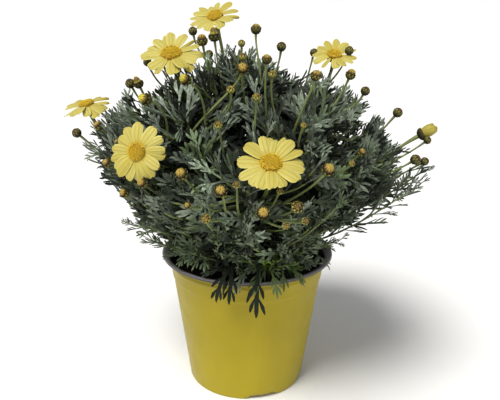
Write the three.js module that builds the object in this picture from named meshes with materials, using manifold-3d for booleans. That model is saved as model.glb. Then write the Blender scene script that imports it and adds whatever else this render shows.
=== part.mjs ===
// Marguerite daisy in a thin two-tone nursery pot.
// Millimetres, +Z up, +X to the right and +Y away from the viewer.
// The origin is on the floor, under the centre of the pot.
import * as THREE from "three";
import { mergeVertices } from "three/addons/utils/BufferGeometryUtils.js";
import Module from "manifold-3d";

const wasm = await Module();
wasm.setup();

const V = (x, y, z) => new THREE.Vector3(x, y, z);
const UP = V(0, 0, 1);

// Clearance between neighbouring pieces, and the size under which details of a joined solid are dropped
const GAP = 0.3;
const FINEST = 0.1;

// Pot: a 12 cm thermoformed nursery pot, measured over its rim
const RIM_RADIUS = 60;
const WALL_TOP_RADIUS = 54.8;
const BASE_RADIUS = 41.6;
const WALL = 1.0;
const LIP_LOWER_EDGE = 93.5;
const POT_HEIGHT = 96.5;
const COLLAR_HEIGHT = 80;
const COLLAR_STEP = 0.5;
const FLOOR_HEIGHT = 3.0;
const FOOT_WIDTH = 5;
const POT_SEGMENTS = 48;
// Openings in the foot ring, as [start, end] in degrees from the front towards the right
const FOOT_OPENINGS = [
  [3, 30],
  [63, 92],
  [183, 210],
  [243, 272],
];
const DRAIN_RADIUS = 3.5;
const DRAIN_REACH = 31;

// Potting soil
const SOIL_EDGE_HEIGHT = 84;
const SOIL_CROWN_HEIGHT = 88;

// Woody stem and its branches
const TRUNK_RADIUS = 4.6;
const TRUNK_FOOT = 70;
const TRUNK_TOP = 95;
const BRANCH_RADIUS = 1.6;

// Stalks of the flowers and buds
const FLOWER_STALK_RADIUS = 1.1;
const BUD_STALK_RADIUS = 0.8;
const STALK_STEPS = 5;
const STALK_SIDES = 5;

// Ray petals and disc of an open flower, as parts of the flower's diameter
const PETAL_COUNT = 13;
const PETAL_WIDTH_RATIO = 0.145;
const DISC_RATIO = 0.34;
const PETAL_THICKNESS = 0.9;
const PETAL_TILTS = [-4, -9];

// Foliage: one soft solid for each group of leafy shoots.
// azimuth is in degrees from the front towards the right, size is [outwards, across, upwards]
const CROWN = { azimuth: 0, reach: 0, height: 203, size: [34, 34, 27] };
const SHOULDER = { reach: 52, height: 188, size: [30, 38, 30] };
const WAIST = { reach: 75, height: 156, size: [30, 38, 32] };
const SKIRT = { reach: 50, height: 119, size: [25, 30, 20] };
const FOLIAGE = [
  { name: "crown", ...CROWN },
  { name: "shoulder_front_right", azimuth: 45, ...SHOULDER },
  { name: "shoulder_back_right", azimuth: 135, ...SHOULDER },
  { name: "shoulder_back_left", azimuth: 225, ...SHOULDER },
  { name: "shoulder_front_left", azimuth: 315, ...SHOULDER },
  { name: "waist_front", azimuth: 0, ...WAIST },
  { name: "waist_front_right", azimuth: 60, ...WAIST },
  { name: "waist_back_right", azimuth: 120, ...WAIST },
  { name: "waist_back", azimuth: 180, ...WAIST },
  { name: "waist_back_left", azimuth: 240, ...WAIST },
  { name: "waist_front_left", azimuth: 300, ...WAIST },
  { name: "skirt_front_right", azimuth: 36, ...SKIRT },
  { name: "skirt_right", azimuth: 108, ...SKIRT },
  { name: "skirt_back", azimuth: 180, ...SKIRT },
  { name: "skirt_left", azimuth: 252, ...SKIRT },
  { name: "skirt_front_left", azimuth: 324, ...SKIRT },
];
const LEAVES_PER_CLUMP = 4;
const LEAF_WIDTH = 11;
const LEAF_THICKNESS = 1.2;
const LEAF_REACH = 13;

// Long leaves that leave the dome, from [base] to [tip]
const LONG_LEAVES = {
  skirt_front_left: [
    { base: [-14, -52, 112], tip: [-17, -67, 87] },
    { base: [-45, -30, 116], tip: [-74, -42, 122] },
  ],
  skirt_front_right: [
    { base: [8, -54, 112], tip: [10, -68, 77] },
    { base: [24, -48, 112], tip: [31, -64, 91] },
    { base: [45, -32, 120], tip: [68, -50, 131] },
  ],
  waist_front_right: [{ base: [80, -34, 150], tip: [116, -34, 151] }],
  waist_front_left: [{ base: [-78, -34, 152], tip: [-104, -38, 170] }],
};

// Open flowers: place of the disc, diameter over the petals, and the way the face looks.
// branch and seat say where the stalk starts: the branch of which foliage group, and how far along it
const FLOWERS = [
  { head: [-23, 12, 255], diameter: 33, facing: [-0.17, -0.54, 0.82], branch: "crown", seat: 0.85 },
  { head: [-50, -6, 232], diameter: 41, facing: [-0.05, -0.53, 0.85], branch: "shoulder_back_left", seat: 0.8 },
  { head: [57, 15, 231], diameter: 31, facing: [0, -0.49, 0.87], branch: "shoulder_back_right", seat: 0.8 },
  { head: [-105, -12, 200], diameter: 31, facing: [-0.22, -0.25, 0.94], branch: "waist_back_left", seat: 0.8 },
  { head: [-62, -78, 184], diameter: 33, facing: [-0.26, -0.91, 0.31], branch: "waist_front_left", seat: 0.6 },
  { head: [12, -96, 183], diameter: 38, facing: [0.07, -0.58, 0.81], branch: "waist_front", seat: 0.8 },
];

// The flower that is still closed
const CLOSED_FLOWER = { head: [114.5, -16, 184.5], facing: [0.84, -0.1, 0.53], branch: "waist_front_right", seat: 0.85 };
const CLOSED_PETALS_LENGTH = 8.5;
const CLOSED_PETALS_RADIUS = 4.2;

// Buds: place of the head, diameter, and where the stalk starts
const BUDS = [
  { head: [-30, -8, 240], diameter: 7, branch: "crown", seat: 0.7 },
  { head: [-22, -16, 245], diameter: 7.4, branch: "crown", seat: 0.78 },
  { head: [4, 0, 247], diameter: 6.6, branch: "crown", seat: 0.92 },
  { head: [20, -12, 237], diameter: 5.8, branch: "crown", seat: 0.88 },
  { head: [10, -45, 232], diameter: 5.6, branch: "shoulder_front_right", seat: 0.62 },
  { head: [-4, -60, 228], diameter: 6.6, branch: "shoulder_front_left", seat: 0.9 },
  { head: [-36, -56, 221], diameter: 6.4, branch: "shoulder_front_left", seat: 0.8 },
  { head: [-67, -34, 216], diameter: 6.2, branch: "shoulder_front_left", seat: 0.7 },
  { head: [-59, -58, 210], diameter: 6.8, branch: "waist_front_left", seat: 0.8 },
  { head: [38, -54, 224], diameter: 6, branch: "shoulder_front_right", seat: 0.75 },
  { head: [62, -28, 222], diameter: 6.2, branch: "shoulder_front_right", seat: 0.85 },
  { head: [73, -20, 211], diameter: 5.6, branch: "shoulder_front_right", seat: 0.95 },
  { head: [94, -22, 198], diameter: 6, branch: "waist_front_right", seat: 0.7 },
  { head: [103, -40, 172], diameter: 6.2, branch: "waist_front_right", seat: 0.95 },
  { head: [42, -98, 180], diameter: 6.8, branch: "waist_front", seat: 0.7 },
  { head: [8, -108, 159], diameter: 6.8, branch: "waist_front", seat: 0.9 },
  { head: [-14, -106, 170], diameter: 6.4, branch: "waist_front", seat: 0.6 },
  { head: [-35, -99, 177], diameter: 6.4, branch: "waist_front", seat: 0.7 },
  { head: [-71, -72, 158], diameter: 5.4, branch: "waist_front_left", seat: 0.7 },
  { head: [-109, -24, 183], diameter: 5.8, branch: "waist_front_left", seat: 0.5 },
];

// Materials
const material = (color, roughness) => new THREE.MeshStandardMaterial({ color, roughness, metalness: 0 });
const POT_YELLOW = material(0xc4b23c, 0.5);
const SOIL_BROWN = material(0x2a2320, 0.95);
const BARK = material(0x5b6136, 0.8);
const LEAF_GREEN = material(0x3d4b3c, 0.7);
const STALK_GREEN = material(0x6d7a38, 0.6);
const PETAL_YELLOW = material(0xeee27e, 0.6);
const DISC_ORANGE = material(0xd9a12c, 0.8);
const BUD_GREEN = material(0x6f6530, 0.7);

// Turns a three.js geometry into a solid
function solidOf(geometry) {
  const bare = geometry.clone();
  bare.deleteAttribute("normal");
  bare.deleteAttribute("uv");
  const merged = mergeVertices(bare, 1e-4);
  const mesh = new wasm.Mesh({
    numProp: 3,
    vertProperties: new Float32Array(merged.attributes.position.array),
    triVerts: new Uint32Array(merged.index.array),
  });
  mesh.merge();
  return new wasm.Manifold(mesh);
}

// Turns a solid back into a named mesh
function meshOf(name, solid, finish) {
  const { vertProperties, triVerts } = solid.getMesh();
  const geometry = new THREE.BufferGeometry();
  geometry.setAttribute("position", new THREE.BufferAttribute(vertProperties, 3));
  geometry.setIndex(new THREE.BufferAttribute(triVerts, 1));
  geometry.computeVertexNormals();
  const mesh = new THREE.Mesh(geometry, finish);
  mesh.name = name;
  return mesh;
}

// Solid of revolution about Z from a closed [radius, height] outline
function turned(outline, segments) {
  const points = outline.map(([r, z]) => new THREE.Vector2(r, z));
  const lathe = new THREE.LatheGeometry(points, segments);
  lathe.rotateX(Math.PI / 2);
  return solidOf(lathe);
}

// Round bar along a curve
function bar(curve, radius, steps, sides) {
  const section = new THREE.Shape();
  for (let k = 0; k < sides; k += 1) {
    const angle = (2 * Math.PI * k) / sides;
    const x = radius * Math.cos(angle);
    const y = radius * Math.sin(angle);
    if (k === 0) section.moveTo(x, y);
    else section.lineTo(x, y);
  }
  const geometry = new THREE.ExtrudeGeometry(section, { steps, bevelEnabled: false, extrudePath: curve });
  return solidOf(geometry);
}

// Square bar that holds a round bar of the same curve with some room around it
function roomAround(curve, radius) {
  const halfDiagonal = Math.SQRT2 * (radius + GAP);
  return bar(curve, halfDiagonal, STALK_STEPS, 4);
}

// Puts a solid whose own axis is Z at a place, with that axis along a direction
function placed(solid, position, direction) {
  const turn = new THREE.Quaternion().setFromUnitVectors(UP, direction.clone().normalize());
  const matrix = new THREE.Matrix4().compose(position, turn, V(1, 1, 1));
  return solid.transform(matrix.elements);
}

// Direction on the horizontal circle, from the front towards the right
function outward(azimuth) {
  const angle = THREE.MathUtils.degToRad(azimuth);
  return V(Math.sin(angle), -Math.cos(angle), 0);
}

function largestBody(solid) {
  const bodies = solid.decompose();
  return bodies.reduce((best, body) => (body.volume() > best.volume() ? body : best));
}

// Pot: thin wall with a collar step, a turned-over lip and a foot ring with drainage openings
function wallRadius(z) {
  const straight = BASE_RADIUS + ((WALL_TOP_RADIUS - BASE_RADIUS) * z) / LIP_LOWER_EDGE;
  return z > COLLAR_HEIGHT ? straight : straight - COLLAR_STEP * Math.min(1, (COLLAR_HEIGHT - z) / 2);
}

function potOutline() {
  const footInner = BASE_RADIUS - FOOT_WIDTH;
  const outside = [
    [0, FLOOR_HEIGHT],
    [footInner, FLOOR_HEIGHT],
    [footInner + 0.6, 0],
    [wallRadius(0) - 1, 0],
    [wallRadius(1), 1],
    [wallRadius(COLLAR_HEIGHT - 2), COLLAR_HEIGHT - 2],
    [wallRadius(COLLAR_HEIGHT), COLLAR_HEIGHT],
    [wallRadius(POT_HEIGHT - 3), POT_HEIGHT - 3],
    [WALL_TOP_RADIUS + 0.9, POT_HEIGHT - WALL],
    [RIM_RADIUS - WALL, POT_HEIGHT - WALL - 0.3],
    [RIM_RADIUS - WALL, LIP_LOWER_EDGE],
    [RIM_RADIUS, LIP_LOWER_EDGE],
    [RIM_RADIUS, POT_HEIGHT - 0.9],
    [RIM_RADIUS - 0.9, POT_HEIGHT],
  ];
  const inside = [
    [WALL_TOP_RADIUS + 0.4, POT_HEIGHT],
    [WALL_TOP_RADIUS - 0.7, POT_HEIGHT - 1.1],
    [wallRadius(COLLAR_HEIGHT) - WALL, COLLAR_HEIGHT],
    [wallRadius(COLLAR_HEIGHT - 2) - WALL, COLLAR_HEIGHT - 2],
    [wallRadius(FLOOR_HEIGHT) - WALL - 1, FLOOR_HEIGHT + WALL],
    [0, FLOOR_HEIGHT + WALL],
  ];
  return [...outside, ...inside];
}

// Wedge between two azimuths that cuts an opening in the foot ring
function footOpening([start, end]) {
  const wedge = new THREE.Shape();
  wedge.moveTo(0, 0);
  for (const azimuth of [start, (start + end) / 2, end]) {
    const corner = outward(azimuth).multiplyScalar(BASE_RADIUS + 10);
    wedge.lineTo(corner.x, corner.y);
  }
  const geometry = new THREE.ExtrudeGeometry(wedge, { depth: FLOOR_HEIGHT + 1, bevelEnabled: false });
  geometry.translate(0, 0, -1);
  return solidOf(geometry);
}

// Drainage hole through the floor, behind an opening in the foot ring
function drainHole([start, end]) {
  const drill = new THREE.CylinderGeometry(DRAIN_RADIUS, DRAIN_RADIUS, 3 * FLOOR_HEIGHT, 12);
  drill.rotateX(Math.PI / 2);
  const centre = outward((start + end) / 2).multiplyScalar(DRAIN_REACH);
  drill.translate(centre.x, centre.y, FLOOR_HEIGHT);
  return solidOf(drill);
}

function pot() {
  let body = turned(potOutline(), POT_SEGMENTS);
  for (const opening of FOOT_OPENINGS) {
    body = body.subtract(footOpening(opening)).subtract(drainHole(opening));
  }
  return body;
}

// Everything that the pot and the soil fill, a little larger, which the foliage keeps clear of
function potKeepOut() {
  const clear = 2 * GAP;
  return turned(
    [
      [0, -1],
      [wallRadius(0) + clear, -1],
      [wallRadius(LIP_LOWER_EDGE) + clear, LIP_LOWER_EDGE - clear],
      [RIM_RADIUS + clear, LIP_LOWER_EDGE - clear],
      [RIM_RADIUS + clear, POT_HEIGHT + clear],
      [WALL_TOP_RADIUS - WALL - clear, POT_HEIGHT + clear],
      [WALL_TOP_RADIUS - WALL - clear, SOIL_EDGE_HEIGHT + clear],
      [0, SOIL_CROWN_HEIGHT + clear],
    ],
    POT_SEGMENTS / 2,
  );
}

// Soil: fills the pot from its floor to a slightly raised crown, with a hole for the stem
function soil() {
  const innerFoot = wallRadius(FLOOR_HEIGHT) - WALL - 1;
  const innerTop = wallRadius(SOIL_EDGE_HEIGHT) - WALL;
  const floor = FLOOR_HEIGHT + WALL + GAP;
  const body = turned(
    [
      [0, floor],
      [innerFoot - 3 * GAP, floor],
      [wallRadius(COLLAR_HEIGHT - 2) - WALL - 2 * GAP, COLLAR_HEIGHT - 2],
      [innerTop - 2 * GAP, SOIL_EDGE_HEIGHT],
      [innerTop * 0.6, SOIL_EDGE_HEIGHT + 2],
      [0, SOIL_CROWN_HEIGHT],
    ],
    POT_SEGMENTS / 2,
  );
  return body.subtract(trunk(GAP));
}

// Woody stem that stands in the soil
function trunk(clearance) {
  return turned(
    [
      [0, TRUNK_FOOT - clearance],
      [TRUNK_RADIUS + clearance, TRUNK_FOOT - clearance],
      [TRUNK_RADIUS * 0.85 + clearance, TRUNK_TOP - 3],
      [0, TRUNK_TOP + clearance],
    ],
    12,
  );
}

// Branches: one curve from the top of the stem into each foliage group
function clumpCentre({ azimuth, reach, height }) {
  return outward(azimuth).multiplyScalar(reach).setZ(height);
}

function branchCurve(clump) {
  const root = V(0, 0, TRUNK_TOP - 6);
  const centre = clumpCentre(clump);
  const rise = centre.z - root.z;
  const kneeHeight = clump.reach > 0 ? 0.35 * rise : 0.5 * rise;
  const knee = outward(clump.azimuth).multiplyScalar(0.45 * clump.reach).setZ(root.z + kneeHeight);
  const tip = centre.clone().lerp(knee, -0.15);
  return new THREE.QuadraticBezierCurve3(root, knee, tip);
}

function woodyStems() {
  let body = trunk(0);
  for (const clump of FOLIAGE) body = body.add(bar(branchCurve(clump), BRANCH_RADIUS, STALK_STEPS, STALK_SIDES));
  return body;
}

// Stalk from the side of a branch to the underside of a head
function stalkCurve({ branch, seat }, radius, foot, facing) {
  const host = branchCurve(FOLIAGE.find((clump) => clump.name === branch));
  const onBranch = host.getPointAt(seat);
  const along = host.getTangentAt(seat);
  const sideways = foot.clone().sub(onBranch);
  sideways.addScaledVector(along, -sideways.dot(along)).normalize();
  const start = onBranch.addScaledVector(sideways, BRANCH_RADIUS + radius + GAP);
  const span = start.distanceTo(foot);
  const leaving = along.clone().add(sideways).normalize().multiplyScalar(0.35 * span);
  const arriving = facing.clone().multiplyScalar(0.35 * span);
  return new THREE.CubicBezierCurve3(start, start.clone().add(leaving), foot.clone().sub(arriving), foot);
}

// Outline of one ray petal along +X, blunt with a shallow notch at its tip
function petalOutline(inner, outer, width) {
  const length = outer - inner;
  const shape = new THREE.Shape();
  shape.moveTo(inner, -0.14 * width);
  shape.lineTo(inner + 0.65 * length, -0.5 * width);
  shape.lineTo(outer, -0.3 * width);
  shape.lineTo(outer - 0.08 * length, 0);
  shape.lineTo(outer, 0.3 * width);
  shape.lineTo(inner + 0.65 * length, 0.5 * width);
  shape.lineTo(inner, 0.14 * width);
  return shape;
}

// Ring of ray petals, joined at their claws, lying just above the green cup.
// Each petal is tipped up about a hinge line at the edge of the disc
function petalRing(diameter) {
  const discRadius = (DISC_RATIO * diameter) / 2;
  const inner = 0.8 * discRadius;
  const outline = petalOutline(inner, diameter / 2, PETAL_WIDTH_RATIO * diameter);
  const blade = new THREE.ExtrudeGeometry(outline, { depth: PETAL_THICKNESS, bevelEnabled: false });
  const petal = solidOf(blade).translate([-discRadius, 0, 0]);
  let ring = turned(
    [
      [0, 0],
      [0.95 * discRadius, 0],
      [0.95 * discRadius, PETAL_THICKNESS],
      [0, PETAL_THICKNESS],
    ],
    PETAL_COUNT,
  );
  for (let k = 0; k < PETAL_COUNT; k += 1) {
    const tipped = petal.rotate([0, PETAL_TILTS[k % 2], 0]).translate([discRadius, 0, 0]);
    ring = ring.add(tipped.rotate([0, 0, (360 * (k + 0.5)) / PETAL_COUNT]));
  }
  return ring;
}

// Domed disc of florets
function flowerDisc(diameter) {
  const radius = (DISC_RATIO * diameter) / 2;
  return turned(
    [
      [0, 0],
      [radius, 0],
      [0.85 * radius, 0.3 * radius],
      [0.45 * radius, 0.5 * radius],
      [0, 0.55 * radius],
    ],
    12,
  );
}

// Green cup of bracts under a flower, and the stalk that it grows on
function cup(radius, height) {
  return turned(
    [
      [0, -height],
      [0.45 * radius, -height],
      [radius, -0.35 * height],
      [0.9 * radius, 0],
      [0, 0],
    ],
    10,
  );
}

// Globe of bracts of a closed bud
function budHead(diameter) {
  const radius = diameter / 2;
  return turned(
    [
      [0, -radius],
      [0.7 * radius, -0.75 * radius],
      [radius, 0],
      [0.75 * radius, 0.65 * radius],
      [0, 0.8 * radius],
    ],
    8,
  );
}

// Furled petals of the closed flower
function furledPetals() {
  const r = CLOSED_PETALS_RADIUS;
  const l = CLOSED_PETALS_LENGTH;
  return turned(
    [
      [0, 0],
      [0.9 * r, 0],
      [r, 0.35 * l],
      [0.7 * r, 0.8 * l],
      [0, l],
    ],
    8,
  );
}

// The meshes, and every solid that the foliage keeps clear of
const part = new THREE.Group();
const keepOuts = [];

function addPiece(name, solid, finish) {
  part.add(meshOf(name, solid, finish));
}

function addFlower(flower, index) {
  const name = `flower_${index + 1}`;
  const facing = V(...flower.facing).normalize();
  const centre = V(...flower.head);
  const discRadius = (DISC_RATIO * flower.diameter) / 2;
  const cupHeight = 0.75 * discRadius;
  const cupTop = centre.clone().addScaledVector(facing, -PETAL_THICKNESS - 2 * GAP);
  const foot = centre.clone().addScaledVector(facing, -PETAL_THICKNESS - 2 * GAP - 0.9 * cupHeight);
  const curve = stalkCurve(flower, FLOWER_STALK_RADIUS, foot, facing);
  const stalk = bar(curve, FLOWER_STALK_RADIUS, STALK_STEPS, STALK_SIDES);
  addPiece(`${name}_stalk`, stalk.add(placed(cup(discRadius, cupHeight), cupTop, facing)), STALK_GREEN);
  const petalsAt = centre.clone().addScaledVector(facing, -PETAL_THICKNESS - GAP);
  addPiece(`${name}_ray_petals`, placed(petalRing(flower.diameter), petalsAt, facing), PETAL_YELLOW);
  addPiece(`${name}_disc`, placed(flowerDisc(flower.diameter), centre, facing), DISC_ORANGE);
  const around = turned(
    [
      [0, -cupHeight - 2],
      [discRadius + 1, -cupHeight - 2],
      [flower.diameter / 2 + 1, 0],
      [flower.diameter / 2 + 1, 5],
      [0, 6],
    ],
    10,
  );
  keepOuts.push(placed(around, centre, facing));
  keepOuts.push(roomAround(curve, FLOWER_STALK_RADIUS));
}

function addClosedFlower(flower) {
  const facing = V(...flower.facing).normalize();
  const top = V(...flower.head);
  const foot = top.clone().addScaledVector(facing, -5.4);
  const curve = stalkCurve(flower, FLOWER_STALK_RADIUS, foot, facing);
  const stalk = bar(curve, FLOWER_STALK_RADIUS, STALK_STEPS, STALK_SIDES);
  addPiece("closed_flower_stalk", stalk.add(placed(cup(CLOSED_PETALS_RADIUS + 0.3, 6), top, facing)), STALK_GREEN);
  const petalsAt = top.clone().addScaledVector(facing, GAP);
  addPiece("closed_flower_petals", placed(furledPetals(), petalsAt, facing), PETAL_YELLOW);
  keepOuts.push(roomAround(curve, FLOWER_STALK_RADIUS));
}

// A bud looks away from the middle of the plant, and mostly upwards
function budFacing(head) {
  return V(0.6 * head.x, 0.6 * head.y, head.z - 120).normalize();
}

function addBud(bud, index) {
  const centre = V(...bud.head);
  const facing = budFacing(centre);
  const foot = centre.clone().addScaledVector(facing, -0.45 * bud.diameter);
  const curve = stalkCurve(bud, BUD_STALK_RADIUS, foot, facing);
  const stalk = bar(curve, BUD_STALK_RADIUS, STALK_STEPS, STALK_SIDES);
  const name = `bud_${String(index + 1).padStart(2, "0")}`;
  addPiece(name, stalk.add(placed(budHead(bud.diameter), centre, facing)), BUD_GREEN);
  const around = new THREE.IcosahedronGeometry(bud.diameter / 2 + 1.2, 1);
  around.translate(centre.x, centre.y, centre.z);
  keepOuts.push(solidOf(around));
  keepOuts.push(roomAround(curve, BUD_STALK_RADIUS));
}

// Flat pointed leaf from its base to its tip, for a leaf that leaves the clump
function leafBlade(base, tip) {
  const along = tip.clone().sub(base);
  const length = along.length();
  const shape = new THREE.Shape();
  shape.moveTo(0, -0.2 * LEAF_WIDTH);
  shape.lineTo(0.75 * length, -0.5 * LEAF_WIDTH);
  shape.lineTo(length, 0);
  shape.lineTo(0.75 * length, 0.5 * LEAF_WIDTH);
  shape.lineTo(0, 0.2 * LEAF_WIDTH);
  const geometry = new THREE.ExtrudeGeometry(shape, { depth: LEAF_THICKNESS, bevelEnabled: false });
  geometry.translate(0, 0, -LEAF_THICKNESS / 2);
  const forward = along.normalize();
  const side = V(0, 0, 1).cross(forward).normalize();
  const above = forward.clone().cross(side);
  const matrix = new THREE.Matrix4().makeBasis(forward, side, above).setPosition(base);
  geometry.applyMatrix4(matrix);
  return solidOf(geometry);
}

// Half-width of a clump's ellipsoid along a direction
function clumpExtent(clump, direction) {
  const out = outward(clump.azimuth);
  const across = V(-out.y, out.x, 0);
  const [r, t, u] = clump.size;
  return Math.hypot(r * direction.dot(out), t * direction.dot(across), u * direction.z);
}

// Point of a clump's ellipsoid, and beyond, in a direction given in the clump's own axes
function clumpPoint(clump, [r, t, u], scale) {
  const out = outward(clump.azimuth);
  const across = V(-out.y, out.x, 0);
  return clumpCentre(clump)
    .addScaledVector(out, r * clump.size[0] * scale)
    .addScaledVector(across, t * clump.size[1] * scale)
    .addScaledVector(UP, u * clump.size[2] * scale);
}

// Knobbly ellipsoid: every other corner of an icosphere is pulled in
function leafyCore(clump) {
  const sphere = mergeVertices(stripped(new THREE.IcosahedronGeometry(1, 1)), 1e-4);
  const position = sphere.attributes.position;
  for (let k = 0; k < position.count; k += 1) {
    const scale = k % 2 === 0 ? 1.04 : 0.86;
    const corner = [position.getX(k), position.getY(k), position.getZ(k)];
    const point = clumpPoint(clump, corner, scale);
    position.setXYZ(k, point.x, point.y, point.z);
  }
  return solidOf(sphere);
}

function stripped(geometry) {
  geometry.deleteAttribute("normal");
  geometry.deleteAttribute("uv");
  return geometry;
}

// Leaves spread over the outer side of a clump by the golden angle
function leafDirections() {
  const directions = [];
  for (let k = 0; k < LEAVES_PER_CLUMP; k += 1) {
    const out = 1 - (0.85 * (k + 0.5)) / LEAVES_PER_CLUMP;
    const ring = Math.sqrt(1 - out * out);
    const angle = k * Math.PI * (3 - Math.sqrt(5));
    directions.push([out, ring * Math.cos(angle), ring * Math.sin(angle)]);
  }
  return directions;
}

function foliageClump(clump, keepClear) {
  let body = leafyCore(clump);
  const centre = clumpCentre(clump);
  for (const direction of leafDirections()) {
    const surface = clumpPoint(clump, direction, 1);
    const away = surface.clone().sub(centre).normalize();
    body = body.add(leafBlade(centre, surface.addScaledVector(away, LEAF_REACH)));
  }
  for (const { base, tip } of LONG_LEAVES[clump.name] ?? []) body = body.add(leafBlade(V(...base), V(...tip)));
  for (const other of FOLIAGE) {
    if (other === clump) continue;
    const between = clumpCentre(other).sub(centre);
    const distance = between.length();
    const normal = between.divideScalar(distance);
    const own = clumpExtent(clump, normal);
    const theirs = clumpExtent(other, normal);
    if (distance > own + theirs + 2 * LEAF_REACH) continue;
    const border = centre.dot(normal) + (distance * own) / (own + theirs) - GAP / 2;
    body = body.trimByPlane([-normal.x, -normal.y, -normal.z], -border);
  }
  const box = body.boundingBox();
  for (const solid of keepClear) {
    if (boxesMeet(box, solid.boundingBox())) body = body.subtract(solid);
  }
  return largestBody(body.simplify(FINEST));
}

function boxesMeet(a, b) {
  return [0, 1, 2].every((axis) => a.min[axis] <= b.max[axis] && b.min[axis] <= a.max[axis]);
}

addPiece("pot", pot(), POT_YELLOW);
addPiece("potting_soil", soil(), SOIL_BROWN);
addPiece("woody_stems", woodyStems(), BARK);
FLOWERS.forEach(addFlower);
addClosedFlower(CLOSED_FLOWER);
BUDS.forEach(addBud);

keepOuts.push(potKeepOut());
keepOuts.push(trunk(GAP));
for (const clump of FOLIAGE) keepOuts.push(roomAround(branchCurve(clump), BRANCH_RADIUS));
for (const clump of FOLIAGE) addPiece(`foliage_${clump.name}`, foliageClump(clump, keepOuts), LEAF_GREEN);

export default part;
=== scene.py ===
import math

import bpy
import numpy as np
from mathutils import Euler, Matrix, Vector


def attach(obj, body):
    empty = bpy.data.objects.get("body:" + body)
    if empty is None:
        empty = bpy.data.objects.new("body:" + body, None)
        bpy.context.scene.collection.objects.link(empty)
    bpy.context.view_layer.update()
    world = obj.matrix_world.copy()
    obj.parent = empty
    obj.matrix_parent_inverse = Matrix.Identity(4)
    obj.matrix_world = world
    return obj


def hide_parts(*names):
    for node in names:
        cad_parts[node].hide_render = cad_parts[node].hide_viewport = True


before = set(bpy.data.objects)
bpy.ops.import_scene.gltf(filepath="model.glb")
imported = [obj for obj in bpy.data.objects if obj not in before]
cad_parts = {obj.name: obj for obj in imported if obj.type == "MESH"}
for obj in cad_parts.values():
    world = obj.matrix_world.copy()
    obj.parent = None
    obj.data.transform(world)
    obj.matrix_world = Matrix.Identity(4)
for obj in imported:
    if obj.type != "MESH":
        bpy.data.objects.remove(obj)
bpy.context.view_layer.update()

MM = 0.001
UP = np.array([0.0, 0.0, 1.0])
GOLDEN = math.pi * (3 - math.sqrt(5))
SEED = 20
rng = np.random.default_rng(SEED)


# Camera, at the photograph's angle
CAMERA_PLACE = (0, -0.4237, 0.2647)
CAMERA_PITCH, CAMERA_YAW, CAMERA_ROLL = 72.64, -0.203, 0.701
FOCAL_LENGTH, SENSOR_WIDTH, NEAREST, FARTHEST = 46.0, 36.0, 0.01, 2000


def show(name, data):
    """An object in the scene that holds some data."""
    thing = bpy.data.objects.new(name, data)
    bpy.context.scene.collection.objects.link(thing)
    return thing


camera_data = bpy.data.cameras.new("camera")
camera_data.lens, camera_data.sensor_width = FOCAL_LENGTH, SENSOR_WIDTH
camera_data.clip_start, camera_data.clip_end = NEAREST, FARTHEST
camera = show("camera", camera_data)
camera.location = CAMERA_PLACE
turn = Euler((math.radians(CAMERA_PITCH), 0, math.radians(CAMERA_YAW)), "XYZ").to_matrix()
roll = Euler((0, 0, math.radians(CAMERA_ROLL)), "XYZ").to_matrix()
camera.rotation_euler = (turn @ roll).to_euler()
bpy.context.scene.camera = camera


# Vectors and curves
def unit(v):
    v = np.asarray(v, float)
    return v / np.linalg.norm(v)


def outward(azimuth):
    """Direction on the horizontal circle, from the front towards the right."""
    a = math.radians(azimuth)
    return np.array([math.sin(a), -math.cos(a), 0.0])


def bezier(corners, count):
    """Points of a Bezier curve, at even steps of its parameter."""
    t = np.linspace(0, 1, count)[:, None]
    layers = [np.outer(np.ones(count), corner) for corner in corners]
    while len(layers) > 1:
        layers = [a * (1 - t) + b * t for a, b in zip(layers, layers[1:])]
    return layers[0]


def taper(count, places, radii):
    """Radii at even steps along a path, from radii at some places from 0 to 1."""
    return np.interp(np.linspace(0, 1, count), places, radii)


def slopes(path):
    """Unit directions along a path of points."""
    steps = np.gradient(path, axis=0)
    return steps / np.linalg.norm(steps, axis=1)[:, None]


def at_length(path, part):
    """Point and direction at a part of a path's whole length."""
    lengths = np.concatenate([[0], np.cumsum(np.linalg.norm(np.diff(path, axis=0), axis=1))])
    where = part * lengths[-1]

    def point_at(length):
        return np.array([np.interp(length, lengths, path[:, k]) for k in range(3)])

    return point_at(where), unit(point_at(min(where + 0.5, lengths[-1])) - point_at(max(where - 0.5, 0)))


def square_frame(axis):
    """Two unit directions square to an axis and to each other."""
    hint = UP if abs(np.dot(UP, axis)) <= 0.98 else np.array([1.0, 0.2, 0.0])
    side = unit(np.cross(hint, axis))
    return side, np.cross(axis, side)


def head_frame(facing):
    """Right, up and ahead for a head that looks in a direction."""
    facing = unit(facing)
    right = unit(np.cross(UP, facing))
    return right, np.cross(facing, right), facing


def spoke(axes, angle):
    """Direction square to a frame's third axis."""
    return math.cos(angle) * axes[0] + math.sin(angle) * axes[1]


def circle(sides, axes, start=0.0):
    """Directions of a ring's corners, square to a frame's third axis."""
    angles = 2 * math.pi * np.arange(sides) / sides + start
    return np.outer(np.cos(angles), axes[0]) + np.outer(np.sin(angles), axes[1])


# Mesh gathering
ATTRIBUTES = ("tone", "fresh", "along", "across")


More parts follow.
